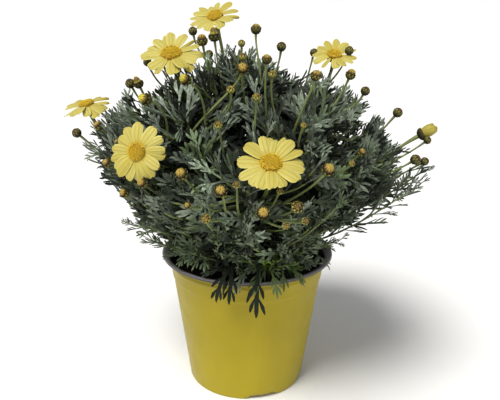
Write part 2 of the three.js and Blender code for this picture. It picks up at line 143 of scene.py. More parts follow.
class Sheaf:
    """Gathers vertices, faces and values at the vertices, and makes one mesh object of them."""

    def __init__(self):
        self.points, self.quads, self.tris = [], [], []
        self.quad_slots, self.tri_slots = [], []
        self.values = {name: [] for name in ATTRIBUTES}
        self.count = 0

    def add(self, points, quads=(), tris=(), slot=0, tri_slot=None, **values):
        points = np.asarray(points, float).reshape(-1, 3)
        quads = np.asarray(quads, int).reshape(-1, 4)
        tris = np.asarray(tris, int).reshape(-1, 3)
        self.points.append(points)
        self.quads.append(quads + self.count)
        self.tris.append(tris + self.count)
        self.quad_slots.append(np.broadcast_to(slot, len(quads)))
        self.tri_slots.append(np.broadcast_to(slot if tri_slot is None else tri_slot, len(tris)))
        for name in ATTRIBUTES:
            self.values[name].append(np.broadcast_to(values.get(name, 0.0), len(points)))
        self.count += len(points)

    def make(self, name, materials, sharp=None):
        """The mesh object, in metres. Edges are sharp above an angle in degrees."""
        points = np.concatenate(self.points) * MM
        quads, tris = np.concatenate(self.quads), np.concatenate(self.tris)
        mesh = bpy.data.meshes.new(name)
        mesh.vertices.add(len(points))
        mesh.vertices.foreach_set("co", points.astype(np.float32).ravel())
        corners = np.concatenate([quads.ravel(), tris.ravel()]).astype(np.int32)
        starts = np.concatenate([np.arange(len(quads)) * 4, len(quads) * 4 + np.arange(len(tris)) * 3])
        mesh.loops.add(len(corners))
        mesh.loops.foreach_set("vertex_index", corners)
        mesh.polygons.add(len(quads) + len(tris))
        mesh.polygons.foreach_set("loop_start", starts.astype(np.int32))
        slots = np.concatenate(self.quad_slots + self.tri_slots).astype(np.int32)
        for material in materials:
            mesh.materials.append(material)
        mesh.polygons.foreach_set("material_index", slots)
        mesh.polygons.foreach_set("use_smooth", np.ones(len(slots), bool))
        for attribute in ATTRIBUTES:
            layer = mesh.attributes.new(attribute, "FLOAT", "POINT")
            layer.data.foreach_set("value", np.concatenate(self.values[attribute]).astype(np.float32))
        mesh.update(calc_edges=True)
        mesh.validate()
        if sharp is not None:
            mesh.set_sharp_from_angle(angle=math.radians(sharp))
        piece = show(name, mesh)
        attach(piece, "root")
        return piece

    def make_for(self, node, name, materials, sharp=None):
        """The mesh object in the place of a node of the frame, whose part from model.glb is hidden."""
        piece = self.make(name, materials, sharp)
        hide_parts(node)


def grid_faces(rows, columns, wrap=False):
    """Quads of a grid of points that is stored row by row."""
    faces = []
    for i in range(rows - 1):
        for j in range(columns if wrap else columns - 1):
            k = (j + 1) % columns
            faces.append((i * columns + j, i * columns + k, (i + 1) * columns + k, (i + 1) * columns + j))
    return np.array(faces)


def closed_rings(count, sides):
    """Faces of a closed body of rings, with a fan to one more point at each end."""
    first, last, top = count * sides, count * sides + 1, (count - 1) * sides
    tris = [(first, (j + 1) % sides, j) for j in range(sides)]
    tris += [(last, top + j, top + (j + 1) % sides) for j in range(sides)]
    return grid_faces(count, sides, wrap=True), tris


def closed_sheet(rows, columns, alike=False):
    """Quads of a thin sheet: one face's grid, the other's (wound alike or opposite), and walls around the border."""
    count = rows * columns
    grid = grid_faces(rows, columns)
    border = [i * columns for i in range(rows)] + [(rows - 1) * columns + j for j in range(1, columns)]
    border += [i * columns + columns - 1 for i in range(rows - 2, -1, -1)] + list(range(columns - 2, 0, -1))
    walls = [(a, b, b + count, a + count) for a, b in zip(border, border[1:] + border[:1])]
    other = grid[:, ::-1] if alike else grid
    return np.concatenate([grid[:, ::-1], other + count, np.array(walls)])


def orient(points, quads):
    """Turns the faces of a closed body outwards if they look inwards."""
    a, b, c, d = (points[quads[:, k]] for k in range(4))
    centre = points.mean(0)
    volume = np.einsum("ij,ij->i", a - centre, np.cross(b - centre, c - centre)).sum()
    volume += np.einsum("ij,ij->i", a - centre, np.cross(c - centre, d - centre)).sum()
    return quads if volume > 0 else quads[:, ::-1]


def add_sheet(sheaf, surface, half_thickness, alike=False, **values):
    """A curved sheet with a thickness, from a grid of points and values on the grid."""
    shape = surface.shape[:2]
    normal = np.cross(np.gradient(surface, axis=0), np.gradient(surface, axis=1))
    normal /= np.linalg.norm(normal, axis=2)[..., None]
    faces = [surface + normal * half_thickness, surface - normal * half_thickness]
    points = np.concatenate([face.reshape(-1, 3) for face in faces])
    values = {name: np.tile(np.broadcast_to(value, shape).ravel(), 2) for name, value in values.items()}
    sheaf.add(points, orient(points, closed_sheet(*shape, alike)), **values)


def tube(sheaf, path, radii, sides, ribs=0, depth=0.0, **values):
    """Closed tube along a path, with lengthwise ribs where they are asked for."""
    path = np.asarray(path, float)
    count = len(path)
    radii = np.broadcast_to(radii, count)
    directions = slopes(path)
    side, _ = square_frame(directions[0])
    angles = np.arange(sides) * 2 * math.pi / sides
    swell = 1 + depth * np.cos(ribs * angles)
    rings = []
    for k in range(count):
        side = unit(side - directions[k] * np.dot(side, directions[k]))
        other = np.cross(directions[k], side)
        ring = np.outer(np.cos(angles), side) + np.outer(np.sin(angles), other)
        rings.append(path[k] + ring * (swell * radii[k])[:, None])
    ends = [path[:1] - directions[0] * radii[0] * 0.3, path[-1:] + directions[-1] * radii[-1] * 0.5]
    along = np.concatenate([np.repeat(np.linspace(0, 1, count), sides), [0, 1]])
    across = np.concatenate([np.tile(np.cos(ribs * angles), count), [0, 0]])
    sheaf.add(np.concatenate(rings + ends), *closed_rings(count, sides), along=along, across=across, **values)


# Shader building
class Shader:
    """A procedural material, made node by node, with a base colour that is mixed up step by step."""

    def __init__(self, name):
        self.material = bpy.data.materials.new(name)
        self.material.use_nodes = True
        self.tree = self.material.node_tree
        self.tree.nodes.clear()
        out = self.node("OutputMaterial")
        self.surface = self.node("BsdfPrincipled")
        self.put(out.inputs["Surface"], self.surface.outputs["BSDF"])
        self.place = self.node("TexCoord").outputs["Object"]
        self.colour = None

    def node(self, kind, *inputs, **settings):
        """A new node with its settings, and with inputs given as (place, value)."""
        node = self.tree.nodes.new("ShaderNode" + kind)
        for name, value in settings.items():
            setattr(node, name, value)
        for place, value in inputs:
            self.put(node.inputs[place], value)
        return node

    def put(self, socket, value):
        if isinstance(value, bpy.types.NodeSocket):
            self.tree.links.new(value, socket)
        elif isinstance(value, tuple) and len(value) == 3 and socket.type == "RGBA":
            socket.default_value = (*value, 1.0)
        else:
            socket.default_value = value

    def attribute(self, name):
        return self.node("Attribute", attribute_name=name).outputs["Fac"]

    def noise(self, scale, detail, roughness=0.55, stretch=None, place=None):
        node = self.node("TexNoise", ("Scale", scale), ("Detail", detail), ("Roughness", roughness))
        place = place or self.place
        self.put(node.inputs["Vector"], self.stretched(place, stretch) if stretch else place)
        return node.outputs["Fac"]

    def cells(self, scale):
        return self.node("TexVoronoi", ("Scale", scale), ("Vector", self.place)).outputs["Distance"]

    def stretched(self, place, scale):
        return self.node("Mapping", ("Scale", scale), ("Vector", place)).outputs["Vector"]

    def maths(self, operation, a, b=0.0):
        return self.node("Math", (0, a), (1, b), operation=operation).outputs[0]

    def times(self, a, b):
        return self.maths("MULTIPLY", a, b)

    def size(self, value):
        return self.maths("ABSOLUTE", value)

    def ranged(self, value, low, high, to_low=0.0, to_high=1.0):
        inputs = enumerate((value, low, high, to_low, to_high))
        return self.node("MapRange", *inputs, interpolation_type="SMOOTHSTEP").outputs[0]

    def specks(self, scale, detail, low, high, strength=1.0):
        """Noise above a level, up to a strength."""
        return self.ranged(self.noise(scale, detail), low, high, 0.0, strength)

    def mix(self, factor, a, b):
        return self.node("Mix", (0, factor), (6, a), (7, b), data_type="RGBA").outputs[2]

    def between(self, factor, colour, other):
        """Starts the base colour, from one screen colour to another."""
        self.colour = self.mix(factor, rgb(*colour), rgb(*other))

    def tint(self, factor, *colour):
        """Mixes a screen colour into the base colour."""
        self.colour = self.mix(factor, self.colour, rgb(*colour))

    def bump(self, height, strength, distance):
        node = self.node("Bump", ("Strength", strength), ("Distance", distance), ("Height", height))
        self.put(self.surface.inputs["Normal"], node.outputs["Normal"])

    def done(self, roughness, specular, **inputs):
        """The material, with its base colour and the surface's other values."""
        inputs = {"Base_Color": self.colour, "Roughness": roughness, "Specular_IOR_Level": specular, **inputs}
        for name, value in inputs.items():
            self.put(self.surface.inputs[name.replace("_", " ")], value)
        return self.material


def rgb(r, g, b):
    """Linear colour from 0 to 255 screen values."""
    return tuple(((c / 255 + 0.055) / 1.055) ** 2.4 if c > 10 else c / 255 / 12.92 for c in (r, g, b))


def leaf_material():
    s = Shader("leaf")
    tone, fresh, along, across = map(s.attribute, ATTRIBUTES)
    s.between(tone, (14, 20, 18), (156, 170, 150))
    s.tint(s.times(s.specks(330, 3, 0.44, 0.64, 0.8), tone), 198, 210, 190)
    s.tint(s.times(s.specks(600, 4, 0.38, 0.62, 0.65), tone), 36, 48, 42)
    # Groove mask: darker everywhere but at a leaf's edges, as painted shade in the groove.
    groove = s.ranged(s.size(across), 0.0, 0.45, 0.6, 0.0)
    s.tint(s.times(groove, tone), 58, 72, 56)
    s.tint(s.times(fresh, s.ranged(tone, 0.0, 0.5, 0.45, 0.9)), 112, 140, 46)
    s.tint(s.times(s.ranged(along, 0.0, 0.3, 0.6, 0.0), tone), 112, 126, 74)
    s.bump(s.maths("SUBTRACT", s.noise(2200, 3), s.times(groove, 1.5)), 0.35, 0.0003)
    rough = s.maths("ADD", s.ranged(s.noise(700, 2), 0.3, 0.7, 0.34, 0.5), s.ranged(tone, 0.0, 0.3, 0.45, 0.0))
    return s.done(rough, 0.3)


def stem_material(name, base, light, dark, dark_end=(0.45, 1.0, 0.0, 0.85)):
    s = Shader(name)
    tone, along, across = map(s.attribute, ("tone", "along", "across"))
    s.between(s.noise(420, 4, stretch=(1, 1, 0.25)), base, light)
    s.tint(s.ranged(across, -0.6, 0.9, 0.0, 0.4), *light)
    s.tint(s.times(tone, s.ranged(along, *dark_end)), *dark)
    s.tint(s.specks(1500, 3, 0.5, 0.8, 0.4), *dark)
    s.bump(s.noise(1600, 3, stretch=(1, 1, 0.3)), 0.35, 0.0003)
    return s.done(0.55, 0.4)


def petal_material():
    s = Shader("petal")
    tone, along, across = map(s.attribute, ("tone", "along", "across"))
    s.between(tone, (175, 163, 74), (190, 180, 98))
    # The furrows are darker: painted shade in them.
    furrow = s.ranged(s.size(s.maths("SUBTRACT", s.size(across), 0.36)), 0.02, 0.16, 1.0, 0.0)
    s.tint(s.times(furrow, 0.6), 168, 148, 49)
    streak = s.noise(60, 2, place=petal_place(s, along, across))
    s.tint(s.ranged(streak, 0.45, 0.7, 0.0, 0.4), 174, 156, 56)
    s.tint(s.ranged(along, 0.0, 0.45, 0.55, 0.0), 188, 160, 42)
    s.tint(s.ranged(s.size(across), 0.7, 1.0, 0.0, 0.4), 211, 203, 122)
    s.tint(s.attribute("fresh"), 150, 134, 30)
    s.bump(s.maths("SUBTRACT", streak, furrow), 0.4, 0.0005)
    return s.done(0.55, 0.25, Sheen_Weight=0.1, Subsurface_Weight=0.1, Subsurface_Radius=(0.0012, 0.001, 0.0003),
                  Subsurface_Scale=1.0)


def petal_place(s, along, across):
    """Place on a petal as a vector, much longer than wide, for streaks that run its length."""
    node = s.node("CombineXYZ")
    values = s.times(along, 0.06), across, s.times(s.attribute("tone"), 7.0)
    for socket, value in zip(node.inputs, values):
        s.put(socket, value)
    return s.stretched(node.outputs[0], (0.12, 0.12, 0.12))


def disc_material():
    s = Shader("disc_florets")
    tone, along = s.attribute("tone"), s.attribute("along")
    s.between(tone, (200, 162, 28), (226, 198, 50))
    # Each floret darker towards its foot: painted shade between the florets.
    s.tint(s.ranged(along, 0.2, 1.0, 0.5, 0.0), 160, 112, 22)
    s.tint(s.specks(1800, 3, 0.4, 0.7, 0.4), 230, 204, 92)
    # fresh darkens some outer florets at random, and the body under the florets as painted shade.
    s.tint(s.attribute("fresh"), 124, 82, 24)
    s.bump(s.noise(3500, 2), 0.3, 0.0003)
    return s.done(0.7, 0.25)


def bract_material():
    """Scales of a cup or bud: tone is how light they are, fresh how yellow their papery ends are."""
    s = Shader("bud_bracts")
    tone, fresh, along, across = map(s.attribute, ATTRIBUTES)
    across = s.size(across)
    s.between(tone, (27, 27, 14), (108, 110, 44))
    s.tint(s.specks(900, 3, 0.4, 0.7, 0.4), 52, 44, 22)
    # Bract sides and the cup's body under them nearly black: painted shade between the bracts.
    s.tint(s.ranged(across, 0.45, 0.95, 0.0, 0.9), 24, 19, 10)
    end = s.times(s.ranged(along, 0.5, 0.85), s.ranged(across, 0.35, 0.85, 1.0, 0.0))
    s.tint(s.times(end, fresh), 186, 176, 88)
    s.tint(s.times(s.ranged(across, 0.0, 0.3, 0.35, 0.0), fresh), 150, 146, 66)
    s.bump(s.noise(2600, 3), 0.4, 0.0003)
    return s.done(0.6, 0.25)


def bud_top_material():
    """The closed florets at a bud's top: tone 0 dark, 0.5 tan papery, 1 yellow."""
    s = Shader("bud_top")
    tone, along = s.attribute("tone"), s.attribute("along")
    s.between(s.ranged(tone, 0.1, 0.5), (38, 34, 18), (182, 158, 72))
    s.tint(s.ranged(tone, 0.6, 0.95), 212, 200, 66)
    s.tint(s.times(s.specks(1100, 4, 0.4, 0.66, 0.6), s.ranged(tone, 0.6, 1.0, 1.0, 0.2)), 126, 92, 42)
    # Florets darker towards their feet, and the dome under them: painted shade between the florets.
    s.tint(s.ranged(along, 0.0, 0.6, 0.9, 0.0), 62, 42, 22)
    s.bump(s.noise(2600, 3), 0.4, 0.0003)
    return s.done(0.65, 0.3)


def pot_yellow_material():
    s = Shader("pot_yellow_plastic")
    s.between(s.specks(14, 4, 0.3, 0.7), (155, 139, 8), (166, 149, 15))
    streaks = s.noise(60, 4, stretch=(1, 1, 0.08))
    s.tint(s.ranged(streaks, 0.4, 0.75, 0.0, 0.25), 146, 128, 6)
    s.tint(s.specks(900, 2, 0.55, 0.75, 0.12), 130, 116, 14)
    scuffs = s.ranged(s.noise(120, 6, 0.75, stretch=(1, 1, 2.2)), 0.64, 0.74, 0.0, 0.35)
    s.tint(scuffs, 190, 176, 52)
    s.bump(s.maths("ADD", s.noise(500, 3), s.times(streaks, 2.0)), 0.12, 0.0004)
    return s.done(s.ranged(s.noise(90, 5), 0.3, 0.7, 0.36, 0.5), 0.3)


def pot_dark_material():
    """Dark plastic with dust on it, paler along the top of the lip: partly wear, partly a painted highlight."""
    s = Shader("pot_dark_plastic")
    height = s.node("SeparateXYZ", (0, s.place)).outputs["Z"]
    s.between(s.specks(60, 5, 0.35, 0.7), (28, 27, 28), (50, 49, 51))
    dust = s.ranged(s.noise(700, 5, 0.7), 0.5, 0.72, 0.0, 0.45)
    s.tint(dust, 108, 102, 96)
    # Paler along the top of the lip, by height: partly wear, partly a painted highlight.
    s.tint(s.ranged(height, 0.0950, 0.0962, 0.0, 0.7), 142, 138, 140)
    s.bump(s.noise(700, 4), 0.25, 0.0003)
    return s.done(s.ranged(dust, 0, 0.5, 0.3, 0.6), 0.5)


def soil_material():
    s = Shader("potting_soil")
    s.between(s.noise(260, 6, 0.7), (16, 13, 12), (64, 48, 38))
    s.tint(s.ranged(s.cells(700), 0.0, 0.35, 0.5, 0.0), 84, 62, 44)
    s.bump(s.noise(900, 6, 0.7), 0.8, 0.001)
    return s.done(0.95, 0.2)


def floor_material():
    s = Shader("pale_floor")
    s.colour = s.mix(s.noise(3, 3), (0.86, 0.86, 0.855), (0.9, 0.9, 0.895))
    return s.done(0.85, 0.15)


LEAF = leaf_material()
BARK = stem_material("woody_stem", (110, 116, 66), (146, 148, 88), (70, 66, 44))
SHOOT = stem_material("leafy_shoot", (92, 106, 54), (134, 148, 78), (30, 38, 26), (0.25, 0.85, 1.0, 0.0))
STALK = stem_material("flower_stalk", (104, 120, 62), (142, 154, 92), (54, 60, 34))
PETAL = petal_material()
DISC = disc_material()
BRACT = bract_material()
BUD_TOP = bud_top_material()
POT_YELLOW = pot_yellow_material()
POT_DARK = pot_dark_material()
SOIL = soil_material()


# Pot: thin wall with a collar step, a turned-over dark lip and a foot ring with openings
RIM_RADIUS, WALL_TOP_RADIUS, BASE_RADIUS, WALL = 60, 54.8, 41.6, 1.0
LIP_LOWER_EDGE, POT_HEIGHT, COLLAR_HEIGHT, COLLAR_STEP = 93.5, 96.5, 80, 0.5
FLOOR_HEIGHT, FOOT_WIDTH = 3.0, 5
FOOT_OPENINGS = [(3, 30), (63, 92), (183, 210), (243, 272)]
OPENING_HEIGHT, OPENING_SLANT = 2.8, 6
DRAIN_RADIUS, DRAIN_REACH = 3.5, 31
SOIL_EDGE, SOIL_CROWN, CLODS = 84, 88, 420
POT_SIDES = 240


def wall_radius(z):
    straight = BASE_RADIUS + (WALL_TOP_RADIUS - BASE_RADIUS) * z / LIP_LOWER_EDGE
    return straight if z > COLLAR_HEIGHT else straight - COLLAR_STEP * min(1, (COLLAR_HEIGHT - z) / 2)


def pot_outline():
    """Rings as (radius, height, dark, in the foot), from the middle of the floor's underside, up the outside, over the
    lip and down the inside to the middle of the floor."""
    foot, above = BASE_RADIUS - FOOT_WIDTH, FLOOR_HEIGHT + WALL
    rings = [(0, FLOOR_HEIGHT, 0, 0), (foot * 0.6, FLOOR_HEIGHT, 0, 0), (foot - 0.4, FLOOR_HEIGHT, 0, 0)]
    rings += [(foot, 2.6, 0, 1), (foot + 0.5, 0.3, 0, 1), (foot + 0.9, 0, 0, 1), (wall_radius(0) - 0.9, 0, 0, 1),
              (wall_radius(0) - 0.3, 0.2, 0, 1), (wall_radius(1), 1, 0, 1), (wall_radius(3), 3.2, 0, 0)]
    heights = (6, 12, 20, 30, 40, 50, 60, 68, 74, 77, 78, 79)
    rings += [(wall_radius(z), z, 0, 0) for z in heights]
    rings += [(wall_radius(80.1), 80, 0, 0), (wall_radius(80.6), 80.6, 0, 0)]
    ridge = (84, 0), (87.6, 0), (88.3, 0.35), (89, 0.45), (89.7, 0.3), (90.2, 0), (92.4, 0.1), (93.7, 0.3)
    rings += [(wall_radius(z) + swell, z, 0, 0) for z, swell in ridge]
    lip = ((4.2, 2.3), (0.9, 2.2), (0.3, 2.0), (0.0, 1.5), (0.05, 0.8), (0.4, 0.25), (1.1, 0.0), (1.9, 0.15),
           (2.8, 0.7), (4.2, 1.5), (5.2, 2.5), (6.0, 4.0))
    rings += [(RIM_RADIUS - inwards, POT_HEIGHT - down, 1, 0) for inwards, down in lip]
    rings += [(wall_radius(z) - WALL, z, 1, 0) for z in (90, 85, 80.5, 78, 60, 40, 20, 7)]
    return rings + [(wall_radius(5) - WALL - 0.8, 5, 1, 0), (wall_radius(4) - WALL - 2, above, 1, 0), (0, above, 1, 0)]


def lathe(sheaf, outline, sides, opening):
    """Closed body turned about Z. Points of the foot are lifted where the foot ring has an opening."""
    rings = []
    for radius, z, _, in_foot in outline[1:-1]:
        azimuths = [360 * k / sides for k in range(sides)]
        rings.append([outward(a) * radius + UP * max(z, in_foot * OPENING_HEIGHT * opening(a)) for a in azimuths])
    points = np.concatenate(rings + [[UP * outline[0][1]], [UP * outline[-1][1]]])
    dark = [ring[2] for ring in outline[1:-1]]
    slots = np.repeat([max(a, b) for a, b in zip(dark, dark[1:])], sides)
    sheaf.add(points, *closed_rings(len(rings), sides), slots, np.repeat([dark[0], dark[-1]], sides))


def foot_opening(azimuth):
    """1 in an opening of the foot ring, less at its slanting ends."""
    aside = [abs((azimuth - (start + end) / 2 + 180) % 360 - 180) - (end - start) / 2 for start, end in FOOT_OPENINGS]
    return min(1, max(0, 0.7 - min(aside) / OPENING_SLANT))


def build_pot():
    sheaf = Sheaf()
    lathe(sheaf, pot_outline(), POT_SIDES, foot_opening)
    pot = sheaf.make("nursery_pot", [POT_YELLOW, POT_DARK], sharp=40)
    drills = Sheaf()
    for start, end in FOOT_OPENINGS:
        centre = outward((start + end) / 2) * DRAIN_REACH
        tube(drills, [centre + UP * z for z in (-1, 1, 6, 8)], DRAIN_RADIUS, sides=24)
    drill = drills.make("drill", [POT_YELLOW])
    cut = pot.modifiers.new("drain_holes", "BOOLEAN")
    cut.operation, cut.solver, cut.object = "DIFFERENCE", "EXACT", drill
    bpy.context.view_layer.update()
    depsgraph = bpy.context.evaluated_depsgraph_get()
    made = bpy.data.meshes.new_from_object(pot.evaluated_get(depsgraph))
    pot.modifiers.clear()
    pot.data = made
    made.name = "nursery_pot"
    bpy.data.objects.remove(drill)
    made.set_sharp_from_angle(angle=math.radians(40))
    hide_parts("pot")


def soil_height(radius):
    return SOIL_CROWN - (SOIL_CROWN - SOIL_EDGE) * (radius / (wall_radius(SOIL_EDGE) - WALL)) ** 2


def clod(sheaf, centre, size):
    """A rough flattened lump: a small ball with every corner moved."""
    rings, sides, squash = 4, 7, 0.7
    points = [[0, 0, -1]]
    for i in range(1, rings):
        polar = math.pi * i / rings
        for j in range(sides):
            a = 2 * math.pi * (j + 0.5 * i) / sides
            points.append([math.sin(polar) * math.cos(a), math.sin(polar) * math.sin(a), -math.cos(polar)])
    points.append([0, 0, 1])
    points = np.array(points) * (1 + rng.uniform(-0.25, 0.25, (len(points), 1)))
    points *= size * np.array([1, rng.uniform(0.6, 1), squash])
    a = rng.uniform(0, 2 * math.pi)
    x, y, z = points.T
    turned = np.stack([x * math.cos(a) - y * math.sin(a), x * math.sin(a) + y * math.cos(a), z], 1)
    last, base = len(points) - 1, 1 + (rings - 2) * sides
    tris = [(0, 1 + (j + 1) % sides, 1 + j) for j in range(sides)]
    tris += [(last, base + j, base + (j + 1) % sides) for j in range(sides)]
    sheaf.add(turned + centre, grid_faces(rings - 1, sides, wrap=True) + 1, tris)


def build_soil():
    sheaf = Sheaf()
    rings, sides, bottom = 26, 96, 4.3
    edge = wall_radius(SOIL_EDGE) - WALL - 0.4
    waves = [(rng.uniform(-1, 1, 2), rng.uniform(0, 6.28), rng.uniform(0.05, 0.5)) for _ in range(24)]
    angles = 2 * math.pi * np.arange(sides) / sides

    def ring(radius, z):
        return np.stack([radius * np.cos(angles), radius * np.sin(angles), np.full(sides, float(z))], 1)

    rows = [ring(wall_radius(5) - WALL - 1.5, bottom), ring(edge, 80)]
    for i in range(rings):
        radius = edge * (1 - i / (rings - 0.5))
        row = ring(radius, soil_height(radius))
        for wave, phase, pitch in waves:
            row[:, 2] += 0.18 * np.sin(pitch * (wave[0] * row[:, 0] + wave[1] * row[:, 1]) * 2 + phase)
        rows.append(row)
    points = np.concatenate(rows + [[[0, 0, bottom]], [[0, 0, SOIL_CROWN]]])
    sheaf.add(points, *closed_rings(len(rows), sides))
    for _ in range(CLODS):
        radius, a = edge * 0.97 * math.sqrt(rng.uniform()), rng.uniform(0, 2 * math.pi)
        size = rng.uniform(0.5, 2.2)
        clod(sheaf, np.array([radius * math.cos(a), radius * math.sin(a), soil_height(radius) + 0.1]), size)
    sheaf.make_for("potting_soil", "potting_soil_surface", [SOIL])


# Foliage groups, as in the frame: azimuth, reach and height of each one's middle
FOLIAGE = {"crown": (0, 0, 203)}
for kind, reach, height, azimuths in (
    ("shoulder", 52, 188, {"front_right": 45, "back_right": 135, "back_left": 225, "front_left": 315}),
    ("waist", 75, 156, {"front": 0, "front_right": 60, "back_right": 120, "back": 180, "back_left": 240,
                        "front_left": 300}),
    ("skirt", 50, 119, {"front_right": 36, "right": 108, "back": 180, "left": 252, "front_left": 324}),
):
    FOLIAGE.update({f"{kind}_{side}": (azimuth, reach, height) for side, azimuth in azimuths.items()})
TRUNK_RADIUS, TRUNK_FOOT, TRUNK_TOP, BRANCH_RADIUS = 4.6, 70, 95, 1.6
FLOWER_STALK_RADIUS, BUD_STALK_RADIUS, GAP = 1.1, 0.8, 0.3
# Points on the path of a branch, where other paths are led from it, and of a shoot
BRANCH_STEPS, SHOOT_STEPS = 60, 8


def group_centre(name):
    azimuth, reach, height = FOLIAGE[name]
    return outward(azimuth) * reach + UP * height


def branch_path(name, count):
    """From inside the trunk's top to the middle of a group, or a little past it."""
    azimuth, reach, _ = FOLIAGE[name]
    root, centre = UP * (TRUNK_TOP - 6), group_centre(name)
    rise = centre[2] - root[2]
    knee = outward(azimuth) * 0.45 * reach + UP * (root[2] + (0.35 if reach else 0.5) * rise)
    return bezier([root, knee, centre - 0.15 * (knee - centre)], count)


def stalk_path(branch, seat, radius, foot, facing, count):
    """From the side of a branch, at a part of its length, to the underside of a head."""
    on_branch, along = at_length(branch_path(branch, BRANCH_STEPS), seat)
    sideways = foot - on_branch
    sideways = unit(sideways - along * np.dot(sideways, along))
    start = on_branch + sideways * (BRANCH_RADIUS + radius + GAP)
    span = np.linalg.norm(foot - start)
    leaving = unit(along + sideways) * 0.35 * span
    return bezier([start - sideways * 1.2, start + leaving, foot - facing * 0.35 * span, foot], count)


def build_stems():
    sheaf = Sheaf()
    heights = np.linspace(TRUNK_FOOT, TRUNK_TOP, 9)
    trunk = np.stack([0.5 * np.sin(heights * 0.3), 0.5 * np.cos(heights * 0.23), heights], 1)
    radii = np.linspace(TRUNK_RADIUS, 3.6, 9) + 0.25 * np.sin(heights)
    tube(sheaf, trunk, radii, sides=18, ribs=6, depth=0.06, tone=0.8)
    for name in FOLIAGE:
        tube(sheaf, branch_path(name, 22), taper(22, [0, 1], [2.1, 1.2]), sides=12, ribs=6, depth=0.07, tone=0.25)
    sheaf.make_for("woody_stems", "woody_branches", [BARK], sharp=60)


# Leaves: a strap with a few narrow lobes, bulged a little on both faces, then bent, folded and twisted
LEAF_THICKNESS, STRAP = 0.3, 0.032


def leaf_template(lefts, rights, palm, lobe, end):
    """Points (along, across) and faces of a leaf of length 1.

    lefts and rights are its lobes' (place along the leaf, angle, reach), in step with each other. palm and lobe are
    half widths, and end is the tip's place across."""
    stations = [(0.0, STRAP), (0.24, STRAP * 0.8)]
    for place, _, _ in lefts:
        stations += [(place - 0.034, palm * 0.9), (place, palm), (place + 0.034, palm * 0.9)]
    stations += [(0.87, lobe * 1.1), (0.955, lobe * 0.6)] if len(lefts) < 3 else [(0.92, lobe)]
    points, quads, tris = [], [], []
    for s, w in stations:
        points += [(s, w), (s, 0.0), (s, -w)]
    last = len(points) - 3
    for a in range(0, last, 3):
        b = a + 3
        quads += [(a + 1, b + 1, b, a), (a + 2, b + 2, b + 1, a + 1)]
    points.append((1.0, end))
    tris += [(last + 1, last + 3, last), (last + 2, last + 3, last + 1)]
    curve = math.radians(10)
    for side, lobes in ((1, lefts), (-1, rights)):
        for p, (_, spread, reach) in enumerate(lobes):
            previous = [3 * (2 + 3 * p + j) + (0 if side > 0 else 2) for j in range(3)]
            base = np.array(points[previous[1]])

            def heading(part):
                angle = math.radians(spread) - curve * part
                return np.array([math.cos(angle), side * math.sin(angle)]), angle

            for part, width in ((0.5, 1.0), (0.84, 0.64)):
                along, angle = heading(part)
                across = np.array([-math.sin(angle), side * math.cos(angle)]) * (lobe * width)
                centre = base + along * reach * part
                first = len(points)
                points += [tuple(centre + across), tuple(centre), tuple(centre - across)]
                current = [first, first + 1, first + 2]
                for j in (0, 1):
                    a, b, c, d = previous[j], previous[j + 1], current[j + 1], current[j]
                    quads.append((a, d, c, b) if side > 0 else (a, b, c, d))
                previous = current
            points.append(tuple(base + heading(1)[0] * reach))
            t = len(points) - 1
            a, b, c = previous
            tris += [(a, t, b), (b, t, c)] if side > 0 else [(b, t, a), (c, t, b)]
    return close_leaf(np.array(points), quads, tris)


def close_leaf(flat, quads, tris):
    """Makes the flat outline a closed body whose two faces meet along its edge."""
    edges = {edge for face in quads + tris for edge in zip(face, face[1:] + face[:1])}
    rim = {k for a, b in edges if (b, a) not in edges for k in (a, b)}
    inner = [k for k in range(len(flat)) if k not in rim]
    below = {k: len(flat) + n for n, k in enumerate(inner)}
    lift = np.zeros(len(flat) + len(inner))
    lift[inner] = 1
    lift[len(flat):] = -1

    def with_underside(faces):
        return np.array(faces + [tuple(below.get(k, k) for k in reversed(face)) for face in faces])

    points, across = np.concatenate([flat, flat[inner]]), np.where(lift == 0, 1.0, 0.0)
    return points, lift, across, with_underside(quads), with_underside(tris)


TEMPLATES = [leaf_template(*shape) for shape in (
    ([(0.44, 32, 0.34), (0.68, 28, 0.26)], [(0.44, 28, 0.30), (0.68, 32, 0.22)], 0.046, 0.036, 0.01),
    ([(0.54, 28, 0.36)], [(0.54, 34, 0.29)], 0.047, 0.038, -0.02),
    ([(0.38, 38, 0.26), (0.57, 36, 0.28), (0.76, 30, 0.19)], [(0.38, 34, 0.28), (0.57, 38, 0.25), (0.76, 32, 0.20)],
     0.044, 0.034, 0.0),
    ([(0.48, 26, 0.34), (0.73, 28, 0.20)], [(0.48, 36, 0.26), (0.73, 26, 0.22)], 0.049, 0.038, 0.02),
    ([(0.60, 30, 0.31)], [(0.60, 27, 0.33)], 0.043, 0.036, 0.0),
    ([(0.42, 30, 0.24), (0.66, 34, 0.28)], [(0.42, 34, 0.33), (0.66, 28, 0.24)], 0.045, 0.036, -0.01),
    ([(0.46, 44, 0.30), (0.69, 38, 0.24)], [(0.46, 42, 0.33), (0.69, 40, 0.27)], 0.048, 0.038, 0.0),
    ([(0.65, 25, 0.28)], [(0.65, 34, 0.20)], 0.047, 0.040, 0.02),
)]
# Leaves darken with their depth in the dome and are darkest this far in: painted shade of the dark inside
DARK_DEPTH = 29
# The light on the plant, as a factor on its leaves' tone at heights and at places from left to right
TONE_BY_HEIGHT = [100, 150, 200], [0.9, 0.95, 1.25]
TONE_BY_SIDE = [-95, -55, -25, 20, 60, 90], [0.5, 0.75, 1.1, 1.15, 0.8, 0.4]


# How far the foliage reaches from the pot's axis at each height
DOME_HEIGHTS = [96, 107, 113, 121, 130, 140, 153, 165, 178, 190, 203, 214, 224, 231, 238]
DOME_REACHES = [46, 56, 66, 74, 80, 89, 100, 103, 102, 97, 84, 70, 52, 34, 12]
WIDEST = DOME_REACHES.index(max(DOME_REACHES))
